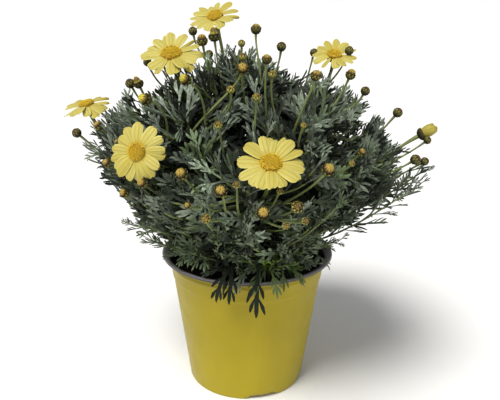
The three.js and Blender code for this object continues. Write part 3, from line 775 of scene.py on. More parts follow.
# How far leaves may stand out of the dome on average, and how much more or less in the tufts and notches
TUFTS_OUT, TUFT_HEIGHT = 3.5, 5


def dome_height(radius):
    """Height of the dome's upper side at a distance from the pot's axis."""
    return np.interp(-radius, [-reach for reach in DOME_REACHES[WIDEST:]], DOME_HEIGHTS[WIDEST:])


def tuft(point):
    """From -1 in the notches between tufts of shoots to 1 in the tufts."""
    turn = math.atan2(point[0], -point[1])
    return math.sin(5 * turn + 0.045 * point[2]) * math.cos(0.11 * point[2] + 2 * turn)


def past_dome(point):
    """True for a point outside the dome, which is lower to the right of its top and uneven."""
    reach = np.interp(point[2], DOME_HEIGHTS, DOME_REACHES, right=-10)
    low_side = 7 * np.clip((point[0] - 8) / 15, 0, 1) * np.clip((point[2] - 190) / 20, 0, 1)
    return math.hypot(point[0], point[1]) > reach + TUFTS_OUT + TUFT_HEIGHT * tuft(point) - low_side


def depth_in_dome(point):
    """How far a point is from the dome's surface, sideways or upwards."""
    radius = math.hypot(point[0], point[1])
    sideways = np.interp(point[2], DOME_HEIGHTS, DOME_REACHES) - radius
    return max(0.0, min(sideways, dome_height(radius) - point[2]))


# Room that leaves keep from a flower, as a part of its diameter, and as lengths behind and in front of its face
FLOWER_ROOM, ROOM_BEHIND, ROOM_AHEAD = 0.52, 4.5, 45
# Room that leaves keep beside and behind an open stalk, and the usual distance from the camera to such stalks
STALK_ROOM, ROOM_BEFORE, STALK_DISTANCE = 1.8, 0.8, 430


def hides_flower(points):
    """True where a point lies on a flower or straight in front of its face."""
    for flower in FLOWERS:
        facing = unit(flower["facing"])
        local = points - np.array(flower["head"], float)
        above = local @ facing
        radius = np.linalg.norm(local - np.outer(above, facing), axis=1)
        if ((radius < FLOWER_ROOM * flower["diameter"]) & (above > -ROOM_BEHIND) & (above < ROOM_AHEAD)).any():
            return True
    return False


def open_stalks():
    """Points of the stalks that show in front of the foliage, from their heads down."""
    paths = []
    for number, shown in OPEN_STALKS.items():
        head, diameter, _, branch, seat = BUDS[number - 1]
        paths.append((bud_stalk(head, diameter, branch, seat, number, 60), shown))
    for number, shown in OPEN_FLOWER_STALKS.items():
        flower = FLOWERS[number - 1]
        facing = unit(flower["facing"])
        foot = np.array(flower["head"], float) - facing * 4
        paths.append((stalk_path(flower["branch"], flower["seat"], FLOWER_STALK_RADIUS, foot, facing, 60), shown))
    return np.concatenate([path[np.linalg.norm(path - path[-1], axis=1) < shown] for path, shown in paths])


def sight_lines(points):
    """Directions and distances of points from the camera."""
    lines = points - FRONT_VIEW
    far = np.linalg.norm(lines, axis=1)
    return lines / far[:, None], far


def hides_stalk(points):
    """True where a point lies before one of those stalks, seen from the front."""
    (lines, far), (stalks, stalks_far) = sight_lines(points), STALKS_SEEN
    near = lines @ stalks.T > math.cos(STALK_ROOM / STALK_DISTANCE)
    return bool((near & (far[:, None] < stalks_far - ROOM_BEFORE)).any())


# Gaps in the plant's outline, where the photograph shows the background: x, z and radius in the plane y = 0, as seen
# from the front
OUTLINE_GAPS = np.array([
    (96, 188, 4.2), (101, 180, 4.2), (105, 173, 2.8), (78, 191, 2.2), (83, 195, 1.4), (93, 194, 2.4), (76, 184, 1.8),
    (59, 179, 1.1), (64, 175, 1.3), (74, 180, 1.1), (87, 124, 3.5), (94, 128, 2.8), (80, 127, 1.8), (69, 109, 4.2),
    (77, 113, 2.8), (55, 105, 2.8), (61, 102, 2.1), (-95, 138, 3.5), (-91, 133, 1.4), (-87, 126, 2.2),
    (-68, 103, 3.5), (-62, 99, 2.1), (-106, 166, 2.8), (-101, 171, 2.1), (-65, 210, 2.8), (-60, 214, 2.4),
    (-70, 206, 2.1), (-75, 197, 2.1), (-73, 193, 1.4), (23, 228, 3.0), (28, 224, 2.6), (33, 220, 2.0), (18, 230, 2.8),
    (8, 235, 2.1), (13, 232, 2.1), (-3, 236, 1.4)])


def fills_gap(points):
    """True where a point covers one of those gaps, seen from the front."""
    rays = points - FRONT_VIEW
    crossings = FRONT_VIEW - rays * (FRONT_VIEW[1] / rays[:, 1])[:, None]
    away = np.hypot(crossings[:, :1] - OUTLINE_GAPS[:, 0], crossings[:, 2:] - OUTLINE_GAPS[:, 1])
    return (away < OUTLINE_GAPS[:, 2]).any()


def in_pot(points):
    """True where a point is in the pot's wall or lip, or under the soil."""
    radius, z = np.hypot(points[:, 0], points[:, 1]), points[:, 2]
    wall = BASE_RADIUS + (WALL_TOP_RADIUS - BASE_RADIUS) * np.minimum(z, LIP_LOWER_EDGE) / LIP_LOWER_EDGE
    in_lip = (z > LIP_LOWER_EDGE - 0.5) & (z < POT_HEIGHT + 0.4)
    in_lip &= (radius < RIM_RADIUS + 0.4) & (radius > WALL_TOP_RADIUS - 1.4)
    in_wall = (z < LIP_LOWER_EDGE) & (radius < wall + 0.4) & (radius > wall - WALL - 0.4)
    in_soil = (z < SOIL_CROWN - 4 * (radius / 53) ** 2 + 0.5) & (radius < wall)
    return in_lip | in_wall | in_soil


def leaf(sheaf, base, ahead, face, length, bend, fold, twist, width, fresh=0.0, tone=None, shape=None, curl=0.0,
         free=False):
    """One leaf from its base: ahead is its first direction and face the way that its upper side looks.

    It is left out, and False comes back, where it would be in the pot or hide a flower or an open stalk, and unless it
    is free also where it would leave the dome or fill a gap in the outline."""
    shape = int(rng.integers(len(TEMPLATES))) if shape is None else shape
    points, lift, across, quads, tris = TEMPLATES[shape]
    ahead = unit(ahead)
    face = unit(face - ahead * np.dot(face, ahead))
    side = np.cross(face, ahead)
    u, v = points[:, 0], points[:, 1] * width
    bend = bend if abs(bend) > 1e-3 else 1e-3
    angle = bend * u
    spine = np.outer(np.sin(angle) / bend, ahead) - np.outer((1 - np.cos(angle)) / bend, face)
    normal = np.outer(np.cos(angle), face) + np.outer(np.sin(angle), ahead)
    spin = twist * u
    sides = np.cos(spin)[:, None] * side + np.sin(spin)[:, None] * normal
    normal = np.cos(spin)[:, None] * normal - np.sin(spin)[:, None] * side
    height = np.abs(v) * math.tan(fold) - curl * v * v * 4
    placed = base + length * (spine + v[:, None] * sides + height[:, None] * normal)
    placed = placed + (lift * LEAF_THICKNESS)[:, None] * normal
    tip = placed[np.argmax(u)]
    if in_pot(placed).any() or hides_flower(placed) or not free and (past_dome(tip) or fills_gap(placed)):
        return False
    if hides_stalk(np.concatenate([placed, placed[quads].mean(1)])):
        return False
    if tone is None:
        own = 0.5 - 0.5 * math.cos(math.pi * rng.uniform(0.08, 1))
        # Darker with depth in the dome and in the notches, lighter in the tufts: painted shade and light.
        tone = own * max(0.0, 1 - depth_in_dome(tip) / DARK_DEPTH) * (1 + 0.12 * tuft(tip))
        # Scaled by the light on the plant at its height and side: painted light.
        tone *= np.interp(tip[2], *TONE_BY_HEIGHT) * np.interp(tip[0], *TONE_BY_SIDE)
    # Underside much darker, edge a little darker than the upper side: painted shade.
    shade = np.where(lift > 0, 1.0, np.where(lift < 0, 0.15, 0.8))
    sheaf.add(placed, quads, tris, tone=tone * shade, fresh=fresh, along=u, across=across)
    return True


def leaf_to(sheaf, base, tip, bend, shape, width, fresh, tone):
    """A leaf whose base and tip are both given, with its upper side up."""
    base = np.array(base, float)
    chord = np.array(tip, float) - base
    length = np.linalg.norm(chord)
    chord = chord / length
    face = unit(UP - chord * chord[2])
    ahead = math.cos(bend / 2) * chord + math.sin(bend / 2) * face
    upper = math.cos(bend / 2) * face - math.sin(bend / 2) * chord
    stretch = (bend / 2) / math.sin(bend / 2)
    leaf(sheaf, base, ahead, upper, length * stretch, bend, 0.2, 0.0, width, fresh, tone, shape, free=True)


def beside(path, part, turn):
    """Point and direction at a part of a path, and the direction away from it at a turn around it."""
    point, axis = at_length(path, part)
    return point, axis, spoke(square_frame(axis), turn)


def shoot(sheaf, path, leaves, longest, fresh, bare, radius=0.85, free=False):
    """A leafy shoot: a thin stem along a path, with leaves around it that get shorter and closer to its tip.

    Up to the part that is bare it has two dark leaves at most, and its stem ends at its last leaf."""
    count = len(path)
    last_leaf = bare
    turn = rng.uniform(0, 2 * math.pi)
    for part, shape in ((0.35 * bare, 5), (0.8 * bare, 3)) if bare > 0.3 else ():
        turn += GOLDEN
        point, axis, radial = beside(path, part, turn)
        leaf(sheaf, point, 0.4 * axis + radial, axis - 0.4 * radial, rng.uniform(24, 34), bend=rng.uniform(0, 0.5),
             fold=0.2, twist=rng.uniform(-0.5, 0.5), tone=rng.uniform(0, 0.1), width=1.4, shape=shape)
    for k in range(leaves):
        part = bare + (1 - bare) * (k / max(leaves - 1, 1)) ** 0.85
        turn += GOLDEN + rng.uniform(-0.25, 0.25)
        point, axis, radial = beside(path, part, turn)
        age = 1 - (part - bare) / (1 - bare)
        spread = math.radians(14 + 30 * age + rng.uniform(-8, 10))
        ahead = math.cos(spread) * axis + math.sin(spread) * radial
        face = math.sin(spread) * axis - math.cos(spread) * radial
        ahead = unit(ahead + 0.16 * UP)
        face = face + 0.3 * (UP - ahead * ahead[2])
        length = longest * (0.66 + 0.34 * min(1, 1.6 * age)) * rng.uniform(0.8, 1.15)
        if leaf(sheaf, point, ahead, face, length, bend=rng.uniform(-0.3, 0.7), fold=rng.uniform(0.15, 0.8),
                twist=rng.uniform(-1.3, 1.3), width=rng.uniform(0.95, 1.25),
                fresh=min(1, fresh * rng.uniform(0.5, 1.4)), curl=rng.uniform(-0.3, 0.5), free=free):
            last_leaf = part
    stem = np.array([at_length(path, part)[0] for part in np.linspace(0, min(1.0, last_leaf + 0.01), count)])
    tube(sheaf, stem, np.linspace(radius, 0.45, count), sides=6, slot=1, tone=1 - fresh)


# Each kind of group: shoots, longest leaf, how fresh, and its part of the dome as its lowest and highest tips and the
# degrees to each side
KINDS = {"crown": (26, 24, 0.05, None), "shoulder": (24, 26, 0.05, (178, 221, 47)),
         "waist": (18, 27, 0.1, (133, 182, 32)), "skirt": (13, 25, 0.25, (99, 136, 37))}
# How far the crown's shoots reach from the axis, and the step that scatters a group's shoots evenly to its sides
CROWN_REACH, SCATTER = 54, 0.7549
LEAVES_ON_A_SHOOT, INNER_LEAVES = 13, 26
# Points on the pot's axis that the shoots' tips rise from and that their reach is measured from
RISE_FROM, DOME_MIDDLE = np.array([0, 0, 96.0]), np.array([0, 0, 120.0])
# Hollows between the shoots, where the dark inside shows: (place, radius)
HOLLOWS = [((-8, -80, 182), 15), ((-46, -78, 170), 9), ((-40, -66, 128), 8)]


def group_targets(name):
    """Places for shoot tips a little inside the dome's surface, spread evenly over a group's part of it."""
    count, _, _, part = KINDS[name.split("_")[0]]
    targets = []
    for k in range(count):
        share = (k + 0.5) / count
        if part:
            low, high, half = part
            turn = FOLIAGE[name][0] + half * (2 * ((0.5 + k * SCATTER) % 1) - 1)
            z = low + (high - low) * share
            reach = float(np.interp(z, DOME_HEIGHTS, DOME_REACHES))
        else:
            turn = math.degrees(k * GOLDEN)
            reach = CROWN_REACH * math.sqrt(share)
            z = float(dome_height(reach))
        point = outward(turn) * reach + UP * z
        if any(np.linalg.norm(point - np.array(place)) < radius for place, radius in HOLLOWS):
            continue
        inwards = 0.91 + 0.06 * tuft(point) + rng.uniform(-0.03, 0.03)
        targets.append(DOME_MIDDLE + (point - DOME_MIDDLE) * inwards)
    return targets


def route_to(target, path):
    """Way from the best seat on a branch to a shoot's tip, and how far the tip is from that seat."""
    rising = unit(target - RISE_FROM)
    arrive = unit(rising + 0.3 * UP + rng.uniform(-0.22, 0.22, 3))
    seats = []
    for seat in np.linspace(0.22, 0.92, 8):
        start, along = at_length(path, seat)
        span = np.linalg.norm(target - start)
        score = np.dot(unit(target - start), arrive) - span / 110 + rng.uniform(0, 0.15)
        seats.append((score, start, along, span))
    _, start, along, span = max(seats, key=lambda seat: seat[0])
    return bezier([start, start + along * 0.35 * span, target - arrive * 0.4 * span, target], SHOOT_STEPS), span


def build_foliage(name):
    sheaf = Sheaf()
    _, longest, fresh, _ = KINDS[name.split("_")[0]]
    path = branch_path(name, BRANCH_STEPS)
    for target in group_targets(name):
        route, span = route_to(target, path)
        young = 0.35 if rng.uniform() < 0.12 else fresh
        shoot(sheaf, route, LEAVES_ON_A_SHOOT, longest, young, bare=max(0.1, 1 - 42 / max(span, 43)))
    # Dark leaves along the branch inside the dome: their low tone is painted shade of the inside.
    turn = rng.uniform(0, 2 * math.pi)
    for k in range(INNER_LEAVES):
        turn += GOLDEN
        point, axis, radial = beside(path[10:58], k / (INNER_LEAVES - 1), turn)
        leaf(sheaf, point, 0.5 * axis + radial + 0.2 * UP, 0.6 * axis - 0.3 * radial + 0.6 * UP, rng.uniform(26, 40),
             bend=rng.uniform(0, 0.7), fold=rng.uniform(0.1, 0.4), twist=rng.uniform(-0.7, 0.7),
             tone=rng.uniform(0, 0.12), width=1.6, shape=(6, 0, 5, 3)[k % 4])
    for single in SINGLE_LEAVES.get(name, ()):
        leaf_to(sheaf, *single)
    for corners, *look in SINGLE_SHOOTS.get(name, ()):
        shoot(sheaf, bezier(corners, SHOOT_STEPS), *look, bare=0.2, radius=0.7, free=True)
    sheaf.make_for("foliage_" + name, "leaves_" + name, [LEAF, SHOOT], sharp=62)


# Leaves that can be told apart in the photograph: base, tip, bend, shape, width, how fresh, how light
SINGLE_LEAVES = {
    "skirt_front_left": [
        ((-8, -50, 106), (-19, -66, 86), 1.1, 3, 1.1, 0.05, 0.0),
        ((-8, -50, 105), (-11, -67, 85), 1.1, 0, 1.0, 0.05, 0.0),
        ((2, -50, 103), (-8, -66, 91), 0.9, 5, 1.05, 0.1, 0.3),
        ((-28, -38, 108), (-35, -52, 101), 0.6, 1, 1.0, 0.4, 0.9),
        ((-27, -38, 108), (-27, -54, 101), 0.6, 4, 1.1, 0.4, 0.9),
        ((-36, -32, 109), (-44, -47, 101), 0.6, 2, 1.0, 0.3, 0.5),
        ((-34, -32, 110), (-38, -49, 102), 0.6, 0, 1.0, 0.3, 0.7),
        ((-46, -22, 105), (-63, -25, 106), 0.3, 4, 0.8, 0.1, 0.2),
        ((-44, -24, 104), (-56, -32, 100), 0.4, 1, 0.9, 0.1, 0.3),
        ((-7, -42, 101), (-29, -56, 98.5), 0.5, 2, 1.0, 0.1, 0.1),
        ((-8, -42, 101), (-4, -55, 99), 0.5, 0, 1.0, 0.3, 0.6)],
    "skirt_front_right": [
        ((7, -53, 107), (6, -69, 77), 1.1, 5, 0.95, 0.05, 0.0), ((11, -50, 104), (3, -66, 90), 1.0, 2, 0.9, 0.6, 0.1),
        ((14, -50, 104), (19, -66, 89), 1.0, 0, 0.9, 0.6, 0.2), ((22, -48, 105), (23, -63, 92), 0.9, 1, 0.9, 0.5, 0.1),
        ((24, -46, 105), (36, -59, 94), 0.8, 3, 0.9, 0.6, 0.2), ((8, -44, 98), (-4, -58, 111), 0.5, 1, 1.0, 1.0, 0.7),
        ((12, -44, 98), (8, -62, 113), 0.5, 0, 1.0, 1.0, 0.7), ((14, -44, 98), (20, -62, 113), 0.5, 5, 1.0, 1.0, 0.7),
        ((16, -44, 98), (30, -60, 109), 0.5, 2, 1.0, 1.0, 0.7), ((16, -42, 98), (35, -56, 104), 0.5, 0, 1.0, 0.8, 0.6),
        ((28, -38, 108), (42, -46, 104), 0.4, 0, 1.0, 0.1, 0.3),
        ((30, -36, 108), (40, -50, 101), 0.5, 3, 1.0, 0.1, 0.2), ((40, -26, 106), (55, -35, 95), 0.9, 1, 0.9, 0.1, 0.3),
        ((50, -38, 130), (75, -50, 129), 0.3, 6, 1.2, 0.0, 0.05)],
    "waist_front_right": [((92, -34, 160), (117, -32, 166), 0.2, 4, 1.0, 0.1, 0.3)],
    "waist_front_left": [
        ((-80, -34, 162), (-104, -34, 178), 0.1, 4, 1.0, 0.1, 0.3),
        ((-82, -30, 158), (-103, -30, 168), 0.3, 1, 1.0, 0.1, 0.3)],
}
# Shoots that can be told apart: corners of their path, leaves, longest leaf, how fresh
SINGLE_SHOOTS = {
    "skirt_front_left": [
        ([(-20, -46, 106), (-38, -46, 112), (-54, -44, 114), (-62, -44, 119)], 10, 17, 0.3),
        ([(-44, -20, 112), (-58, -26, 120), (-68, -29, 121), (-74, -30, 123)], 9, 15, 0.2),
        ([(-12, -17, 98), (-8, -28, 97.5), (-5, -38, 98.5), (-4, -46, 100)], 12, 17, 0.2),
        ([(-13, -18, 98.5), (-18, -28, 98.5), (-22, -36, 100), (-25, -43, 101.5)], 10, 15, 0.4)],
    "skirt_front_right": [
        ([(32, -24, 106), (44, -29, 110), (52, -30, 112), (59, -30, 113)], 8, 14, 0.1),
        ([(12, -17, 98), (13, -28, 98), (13, -38, 100), (14, -47, 102)], 14, 17, 1.0),
        ([(13, -18, 98.5), (20, -28, 98), (25, -38, 99), (29, -46, 101)], 10, 16, 0.6),
        ([(14, -19, 99), (26, -26, 99), (36, -32, 99.5), (43, -36, 101)], 10, 14, 0.2)],
    "waist_front_right": [
        ([(24, -60, 122), (34, -78, 134), (44, -83, 147), (52, -80, 156)], 10, 15, 0.3),
        ([(36, -50, 120), (60, -62, 130), (84, -54, 146), (104, -44, 156)], 18, 19, 0.1),
        ([(50, -48, 134), (68, -50, 142), (88, -44, 150), (106, -38, 162)], 18, 19, 0.1),
        ([(66, -16, 158), (76, -18, 163), (86, -20, 167), (93, -20, 171)], 10, 17, 0.1),
        ([(60, -8, 168), (68, -9, 174), (75, -10, 179), (80, -10, 185)], 10, 17, 0.1)],
    "shoulder_front_right": [([(48, -8, 178), (57, -9, 186), (63, -10, 191), (69, -10, 199)], 10, 17, 0.1)],
    "waist_front_left": [
        ([(-58, -18, 156), (-74, -22, 164), (-86, -25, 166), (-95, -25, 170)], 11, 18, 0.1),
        ([(-58, -20, 166), (-72, -24, 174), (-84, -25, 176), (-92, -25, 181)], 11, 18, 0.1)],
    "shoulder_front_left": [
        ([(-48, -10, 174), (-58, -12, 184), (-66, -14, 190), (-73, -15, 197)], 11, 18, 0.1),
        ([(-54, -14, 170), (-66, -17, 178), (-76, -19, 182), (-84, -20, 188)], 11, 18, 0.1)],
    "crown": [
        ([(-3, 5, 204), (-5, 4, 214), (-8, 2, 222), (-11, 0, 229)], 10, 15, 0.0),
        ([(-24, -6, 204), (-29, -8, 211), (-33, -9, 217), (-37, -10, 222)], 9, 15, 0.0)],
}
# Flowers
FLOWERS = [
    dict(head=(-23, 12, 255), diameter=33, facing=(-0.17, -0.54, 0.82), branch="crown", seat=0.85, petals=[
        (102, 2, 0.8), (63, -2, 1), (30, 6, 0.6), (357, -2, 0.4), (330, -12, 1), (306, -6, 1), (267, -6, 1),
        (240, -2, 1), (212, 4, 0.9), (186, 2, 0.6), (165, 6, 1), (144, 2, 0.7), (122, 10, 0.9)]),
    dict(head=(-50, -6, 232), diameter=41, facing=(-0.05, -0.53, 0.85), branch="shoulder_back_left", seat=0.8, petals=[
        (114, -2, 0.6), (102, -6, 0.8), (72, -6, 0.9), (48, -2, 0.3), (30, -2, 0.7), (11, 9, 0.8), (334, -6, 1.05),
        (320, 8, 0.9), (303, -8, 1), (282, -2, 1.15), (250, 8, 0.5), (234, 0, 0.95), (190, 4, 0.9), (174, 12, 1.2),
        (146, 12, 1), (129, 0, 1)]),
    dict(head=(57, 15, 231), diameter=31, facing=(0, -0.49, 0.87), branch="shoulder_back_right", seat=0.8, petals=[
        (108, -6, 1), (81, -10, 1), (51, -10, 1), (36, -8, 0.7), (20, -2, 0.5), (352, 4, 0.8), (318, -6, 0.5),
        (292, -4, 0.9), (270, -2, 1), (231, 10, 0.5), (203, 12, 0.95), (171, 10, 1), (150, 6, 0.9), (129, 8, 1)]),
    dict(head=(-105, -12, 200), diameter=31, facing=(-0.22, -0.25, 0.94), branch="waist_back_left", seat=0.8, petals=[
        (200, 0, 1), (222, 4, 1), (250, 8, 1), (278, 4, 0.9), (300, -2, 1.1), (321, 14, 1), (342, 22, 1), (2, 22, 1),
        (24, 22, 0.9), (40, 8, 0.4), (72, 10, 0.4), (108, 10, 0.6), (140, 8, 0.9), (172, 4, 1)]),
    dict(head=(-62, -78, 184), diameter=33, facing=(-0.26, -0.91, 0.31), branch="waist_front_left", seat=0.6, petals=[
        (123, 6, 0.95), (93, 6, 1.1), (60, 8, 1.15), (33, 8, 0.8), (9, 6, 0.75), (352, 12, 0.85), (333, -6, 0.9),
        (306, 8, 1.1), (276, 10, 1.05), (256, 2, 0.9), (236, -2, 1), (216, 4, 0.95), (197, 2, 1), (178, 2, 0.9),
        (150, 16, 1)]),
    dict(head=(12, -96, 183), diameter=38, facing=(0.07, -0.58, 0.81), branch="waist_front", seat=0.8, petals=[
        (168, 8, 1.15), (138, 2, 1), (122, 6, 0.8), (97, -4, 0.95), (84, 4, 0.8), (74, 6, 0.8), (64, -4, 0.6),
        (47, -6, 0.95), (27, -2, 0.9), (4, 6, 1.15), (345, 4, 0.9), (312, -8, 1.1), (282, -8, 1), (266, -8, 0.9),
        (246, -4, 1), (228, 4, 1.05), (204, 6, 1)]),
]
# Parts of a flower's diameter: its disc's diameter and a petal's width
DISC_RATIO, PETAL_WIDTH = 0.315, 0.185
FLORETS = 230


def sheet_grid(rows, columns):
    """Places along a sheet from 0 to 1 and across it from -1 to 1."""
    return np.linspace(0, 1, rows)[:, None], np.linspace(-1, 1, columns)[None, :]


def hump(v, place, width):
    return np.exp(-((v - place) / width) ** 2)


def petal(sheaf, centre, axes, angle, droop, width, length, inner, lift, twist, bend, old):
    """One ray petal: a narrow claw, two furrows, and a blunt end with shallow notches."""
    right, upper, facing = axes
    a = math.radians(angle)
    out = math.cos(a) * right + math.sin(a) * upper
    side = -math.sin(a) * right + math.cos(a) * upper
    u, v = sheet_grid(12, 9)
    places, widths = [0, 0.12, 0.35, 0.62, 0.8, 0.9, 0.96, 1], [0.4, 0.6, 0.9, 1.0, 0.98, 0.86, 0.7, 0.5]
    half = width / 2 * np.interp(u, places, widths)
    notches = rng.uniform(0.0, 0.08) * hump(v, 0.3, 0.15) + rng.uniform(0.0, 0.08) * hump(v, -0.3, 0.15)
    blunt = rng.uniform(0.02, 0.08) * np.abs(v) ** 3 + notches + rng.uniform(-0.03, 0.03) * v
    reach = length - inner
    along = inner + reach * (u - blunt * u ** 4)
    slope = -math.radians(droop) + bend / 2 - bend * u[:, 0]
    turned = (slope[1:] + slope[:-1]) / 2
    run, rise = (np.concatenate([[0], np.cumsum(part(turned) * np.diff(u[:, 0]))]) * reach for part in (np.cos, np.sin))
    run, rise = (np.interp(along, inner + reach * u[:, 0], way) for way in (inner + run, rise))
    arch = rng.uniform(0.05, 0.16)
    furrow = 0.045 * (hump(v, 0.36, 0.12) + hump(v, -0.36, 0.12)) * np.sin(math.pi * np.clip(u * 0.95 + 0.05, 0, 1))
    wave = 0.05 * math.sin(rng.uniform(0, 6)) * np.sin(3 * u + v + rng.uniform(0, 6))
    bulge = width * (arch * (0.5 - v * v) * np.clip(u * 2, 0, 1) - furrow + wave * u)
    across, spin = half * v, twist * u
    y = across * np.cos(spin) - bulge * np.sin(spin)
    z = across * np.sin(spin) + bulge * np.cos(spin)
    middle = centre + run[..., None] * out + (rise + lift)[..., None] * facing
    surface = middle + y[..., None] * side + z[..., None] * facing
    add_sheet(sheaf, surface, 0.17, alike=True, tone=rng.uniform(), along=u, across=v, fresh=old * u ** 6)


def floret(sheaf, base, axis, radius, height, tone, dark, open_top):
    """A disc floret: a small six-sided tube, closed or with a sunken top."""
    sides = 6
    ring = circle(sides, square_frame(axis), rng.uniform(0, 1))
    levels = [(0, 0.8), (0.7, 1.0), (1.0, 1.05 if open_top else 0.62)]
    points = [base + axis * height * h + ring * radius * r for h, r in levels]
    points += [[base - axis * 0.2], [base + axis * height * (0.72 if open_top else 1.12)]]
    along = np.concatenate([np.repeat([0.0, 0.6, 1.0], sides), [0.0, 0.1 if open_top else 1.0]])
    sheaf.add(np.concatenate(points), *closed_rings(3, sides), tone=tone, along=along, fresh=dark)


def dome(sheaf, centre, axes, radius, height, sides=32, rings=7, **values):
    """A low closed dome."""
    facing = axes[2]
    rows = []
    for i in range(rings):
        t = i / rings
        r, h = radius * math.cos(t * math.pi / 2), height * math.sin(t * math.pi / 2)
        rows.append(centre + r * circle(sides, axes) + facing * h)
    points = np.concatenate(rows + [[centre - facing * 0.4], [centre + facing * height]])
    sheaf.add(points, *closed_rings(rings, sides), **values)


# The cup's (radius, height) as parts of its own: its lower part, and the upper part of a low or high one
CUP_FOOT = [(0.28, -1.0), (0.55, -0.96), (0.85, -0.7), (1.0, -0.35)]
LOW_CUP, HIGH_CUP = [(0.97, -0.05), (0.6, 0.0)], [(0.96, -0.05), (0.8, 0.15), (0.5, 0.25)]


def green_cup(sheaf, top, axes, radius, height, bracts=16, tone=0.25, fresh=0.2, high_end=0.08):
    """The cup under a flower or bud, with two rings of overlapping bracts up to a part of its height."""
    facing, sides = axes[2], 16
    profile = CUP_FOOT + (LOW_CUP if high_end < 0.2 else HIGH_CUP)
    ring = circle(sides, axes)
    points = [top + ring * radius * r + facing * height * h for r, h in profile] + [[top - facing * height], [top]]
    values = dict(slot=1, tone=tone, fresh=fresh)
    # across 0.8 darkens the cup's body in the bract material: painted shade between the bracts.
    sheaf.add(np.concatenate(points), *closed_rings(len(profile), sides), across=0.8, **values)
    width = 2.2 * math.pi * radius / bracts
    for row, (scale, low, high) in enumerate(((1.04, -0.95, high_end - 0.3), (1.06, -0.7, high_end))):
        for k in range(bracts):
            angle = 2 * math.pi * (k + 0.5 * row) / bracts
            bract(sheaf, top, axes, angle, radius, height, scale, low, high, width, tone, fresh)


def cup_radius(radius, part):
    """Radius of the cup at a part of its height, from -1 at its foot to 0 at its top."""
    parts, shares = [-1, -0.96, -0.7, -0.35, -0.05, 0.15, 0.3, 0.4], [0.3, 0.55, 0.85, 1.0, 0.97, 0.86, 0.7, 0.52]
    return radius * float(np.interp(part, parts, shares))


def bract(sheaf, top, axes, angle, radius, height, scale, low_end, high_end, width, tone, fresh):
    """A scale with a blunt papery end that lies on the cup."""
    facing = axes[2]
    shape = ((0.0, 0.6, 0.0), (0.4, 0.9, 0.0), (0.72, 1.0, 0.01), (0.92, 0.8, 0.05), (1.0, 0.35, 0.08))
    places, points = (-1, 0, 1), []
    for t, half_width, lean in shape:
        part = low_end + (high_end - low_end) * t
        r = cup_radius(radius, part) * (scale + 0.02 * t) + lean * radius
        for v in places:
            a = angle + v * (width / 2 * half_width) / max(r, 0.4)
            lift = 0.16 * (1 - v * v) + 0.03
            points.append(top + spoke(axes, a) * (r + lift) + facing * height * part)
    outer = np.array(points)
    inner = outer - unit_rows(outer - (top - facing * height * 0.4)) * 0.22
    both = np.concatenate([outer, inner])
    quads = orient(both, closed_sheet(len(shape), len(places)))
    tone = min(1, max(0, tone + rng.uniform(-0.2, 0.2)))
    along = np.tile(np.repeat([row[0] for row in shape], len(places)), 2)
    sheaf.add(both, quads, slot=1, tone=tone, fresh=fresh * rng.uniform(0.7, 1.0), along=along,
              across=np.tile(places, 2 * len(shape)))


def unit_rows(vectors):
    return vectors / np.linalg.norm(vectors, axis=1)[:, None]


def build_flower(number, head, diameter, facing, branch, seat, petals):
    name = f"flower_{number}"
    axes = head_frame(facing)
    facing = axes[2]
    head = np.array(head, float)
    disc_radius = DISC_RATIO * diameter / 2
    cup_height = 0.75 * disc_radius
    stalk = Sheaf()
    foot = head - facing * (1.5 + 0.9 * cup_height)
    add_flower_stalk(stalk, branch, seat, foot, facing, 1.0, 1.45, 0.35)
    green_cup(stalk, head - facing * 1.5, axes, disc_radius * 0.98, cup_height)
    stalk.make_for(name + "_stalk", name + "_green_stalk", [STALK, BRACT], sharp=60)
    rays = Sheaf()
    for k, (angle, droop, width) in enumerate(petals):
        thin = width < 0.45
        twist = 1.15 if thin else rng.uniform(-0.28, 0.28)
        petal(rays, head - facing * 1.0, axes, angle + rng.uniform(-2.5, 2.5), droop,
              PETAL_WIDTH * diameter * width * rng.uniform(0.9, 1.08), diameter / 2 * rng.uniform(0.95, 1.06),
              disc_radius * 0.72, 0.28 * ((k * 2) % 3) - 0.2, twist, rng.uniform(0.05, 0.6), 1.0 if thin else 0.0)
    rays.make_for(name + "_ray_petals", name + "_petals", [PETAL], sharp=70)
    disc = Sheaf()
    middle, height = head - facing * 0.5, 0.36 * disc_radius
    # The body under the florets is dark: painted shade between them.
    dome(disc, middle, axes, disc_radius * 0.93, height, tone=0.0, fresh=0.55)
    for k in range(FLORETS):
        r = math.sqrt((k + 0.5) / FLORETS)
        flat = spoke(axes, k * GOLDEN)
        level = math.sqrt(max(0, 1 - r * r))
        base = middle + flat * disc_radius * 0.93 * r + facing * height * level
        axis = unit(flat * r * 0.75 + facing * (0.55 + level))
        outer = r > 0.72
        size = disc_radius * (0.055 if outer else 0.047) * rng.uniform(0.9, 1.12)
        tall = disc_radius * (0.16 if outer else 0.1) * rng.uniform(0.75, 1.25)
        dark = 0.5 if outer and rng.uniform() < 0.12 else 0.0
        floret(disc, base, axis, size, tall, rng.uniform(0.2, 1.0), dark, outer and rng.uniform() < 0.7)
    disc.make_for(name + "_disc", name + "_disc_florets", [DISC], sharp=50)


def add_flower_stalk(sheaf, branch, seat, foot, facing, slim, wide, tone):
    """A ribbed stalk that gets slimmer and then wide under its head."""
    path = stalk_path(branch, seat, FLOWER_STALK_RADIUS, foot, facing, 20)
    tube(sheaf, path, taper(20, [0, 0.85, 1], [1.15, slim, wide]), sides=15, ribs=5, depth=0.1, tone=tone)


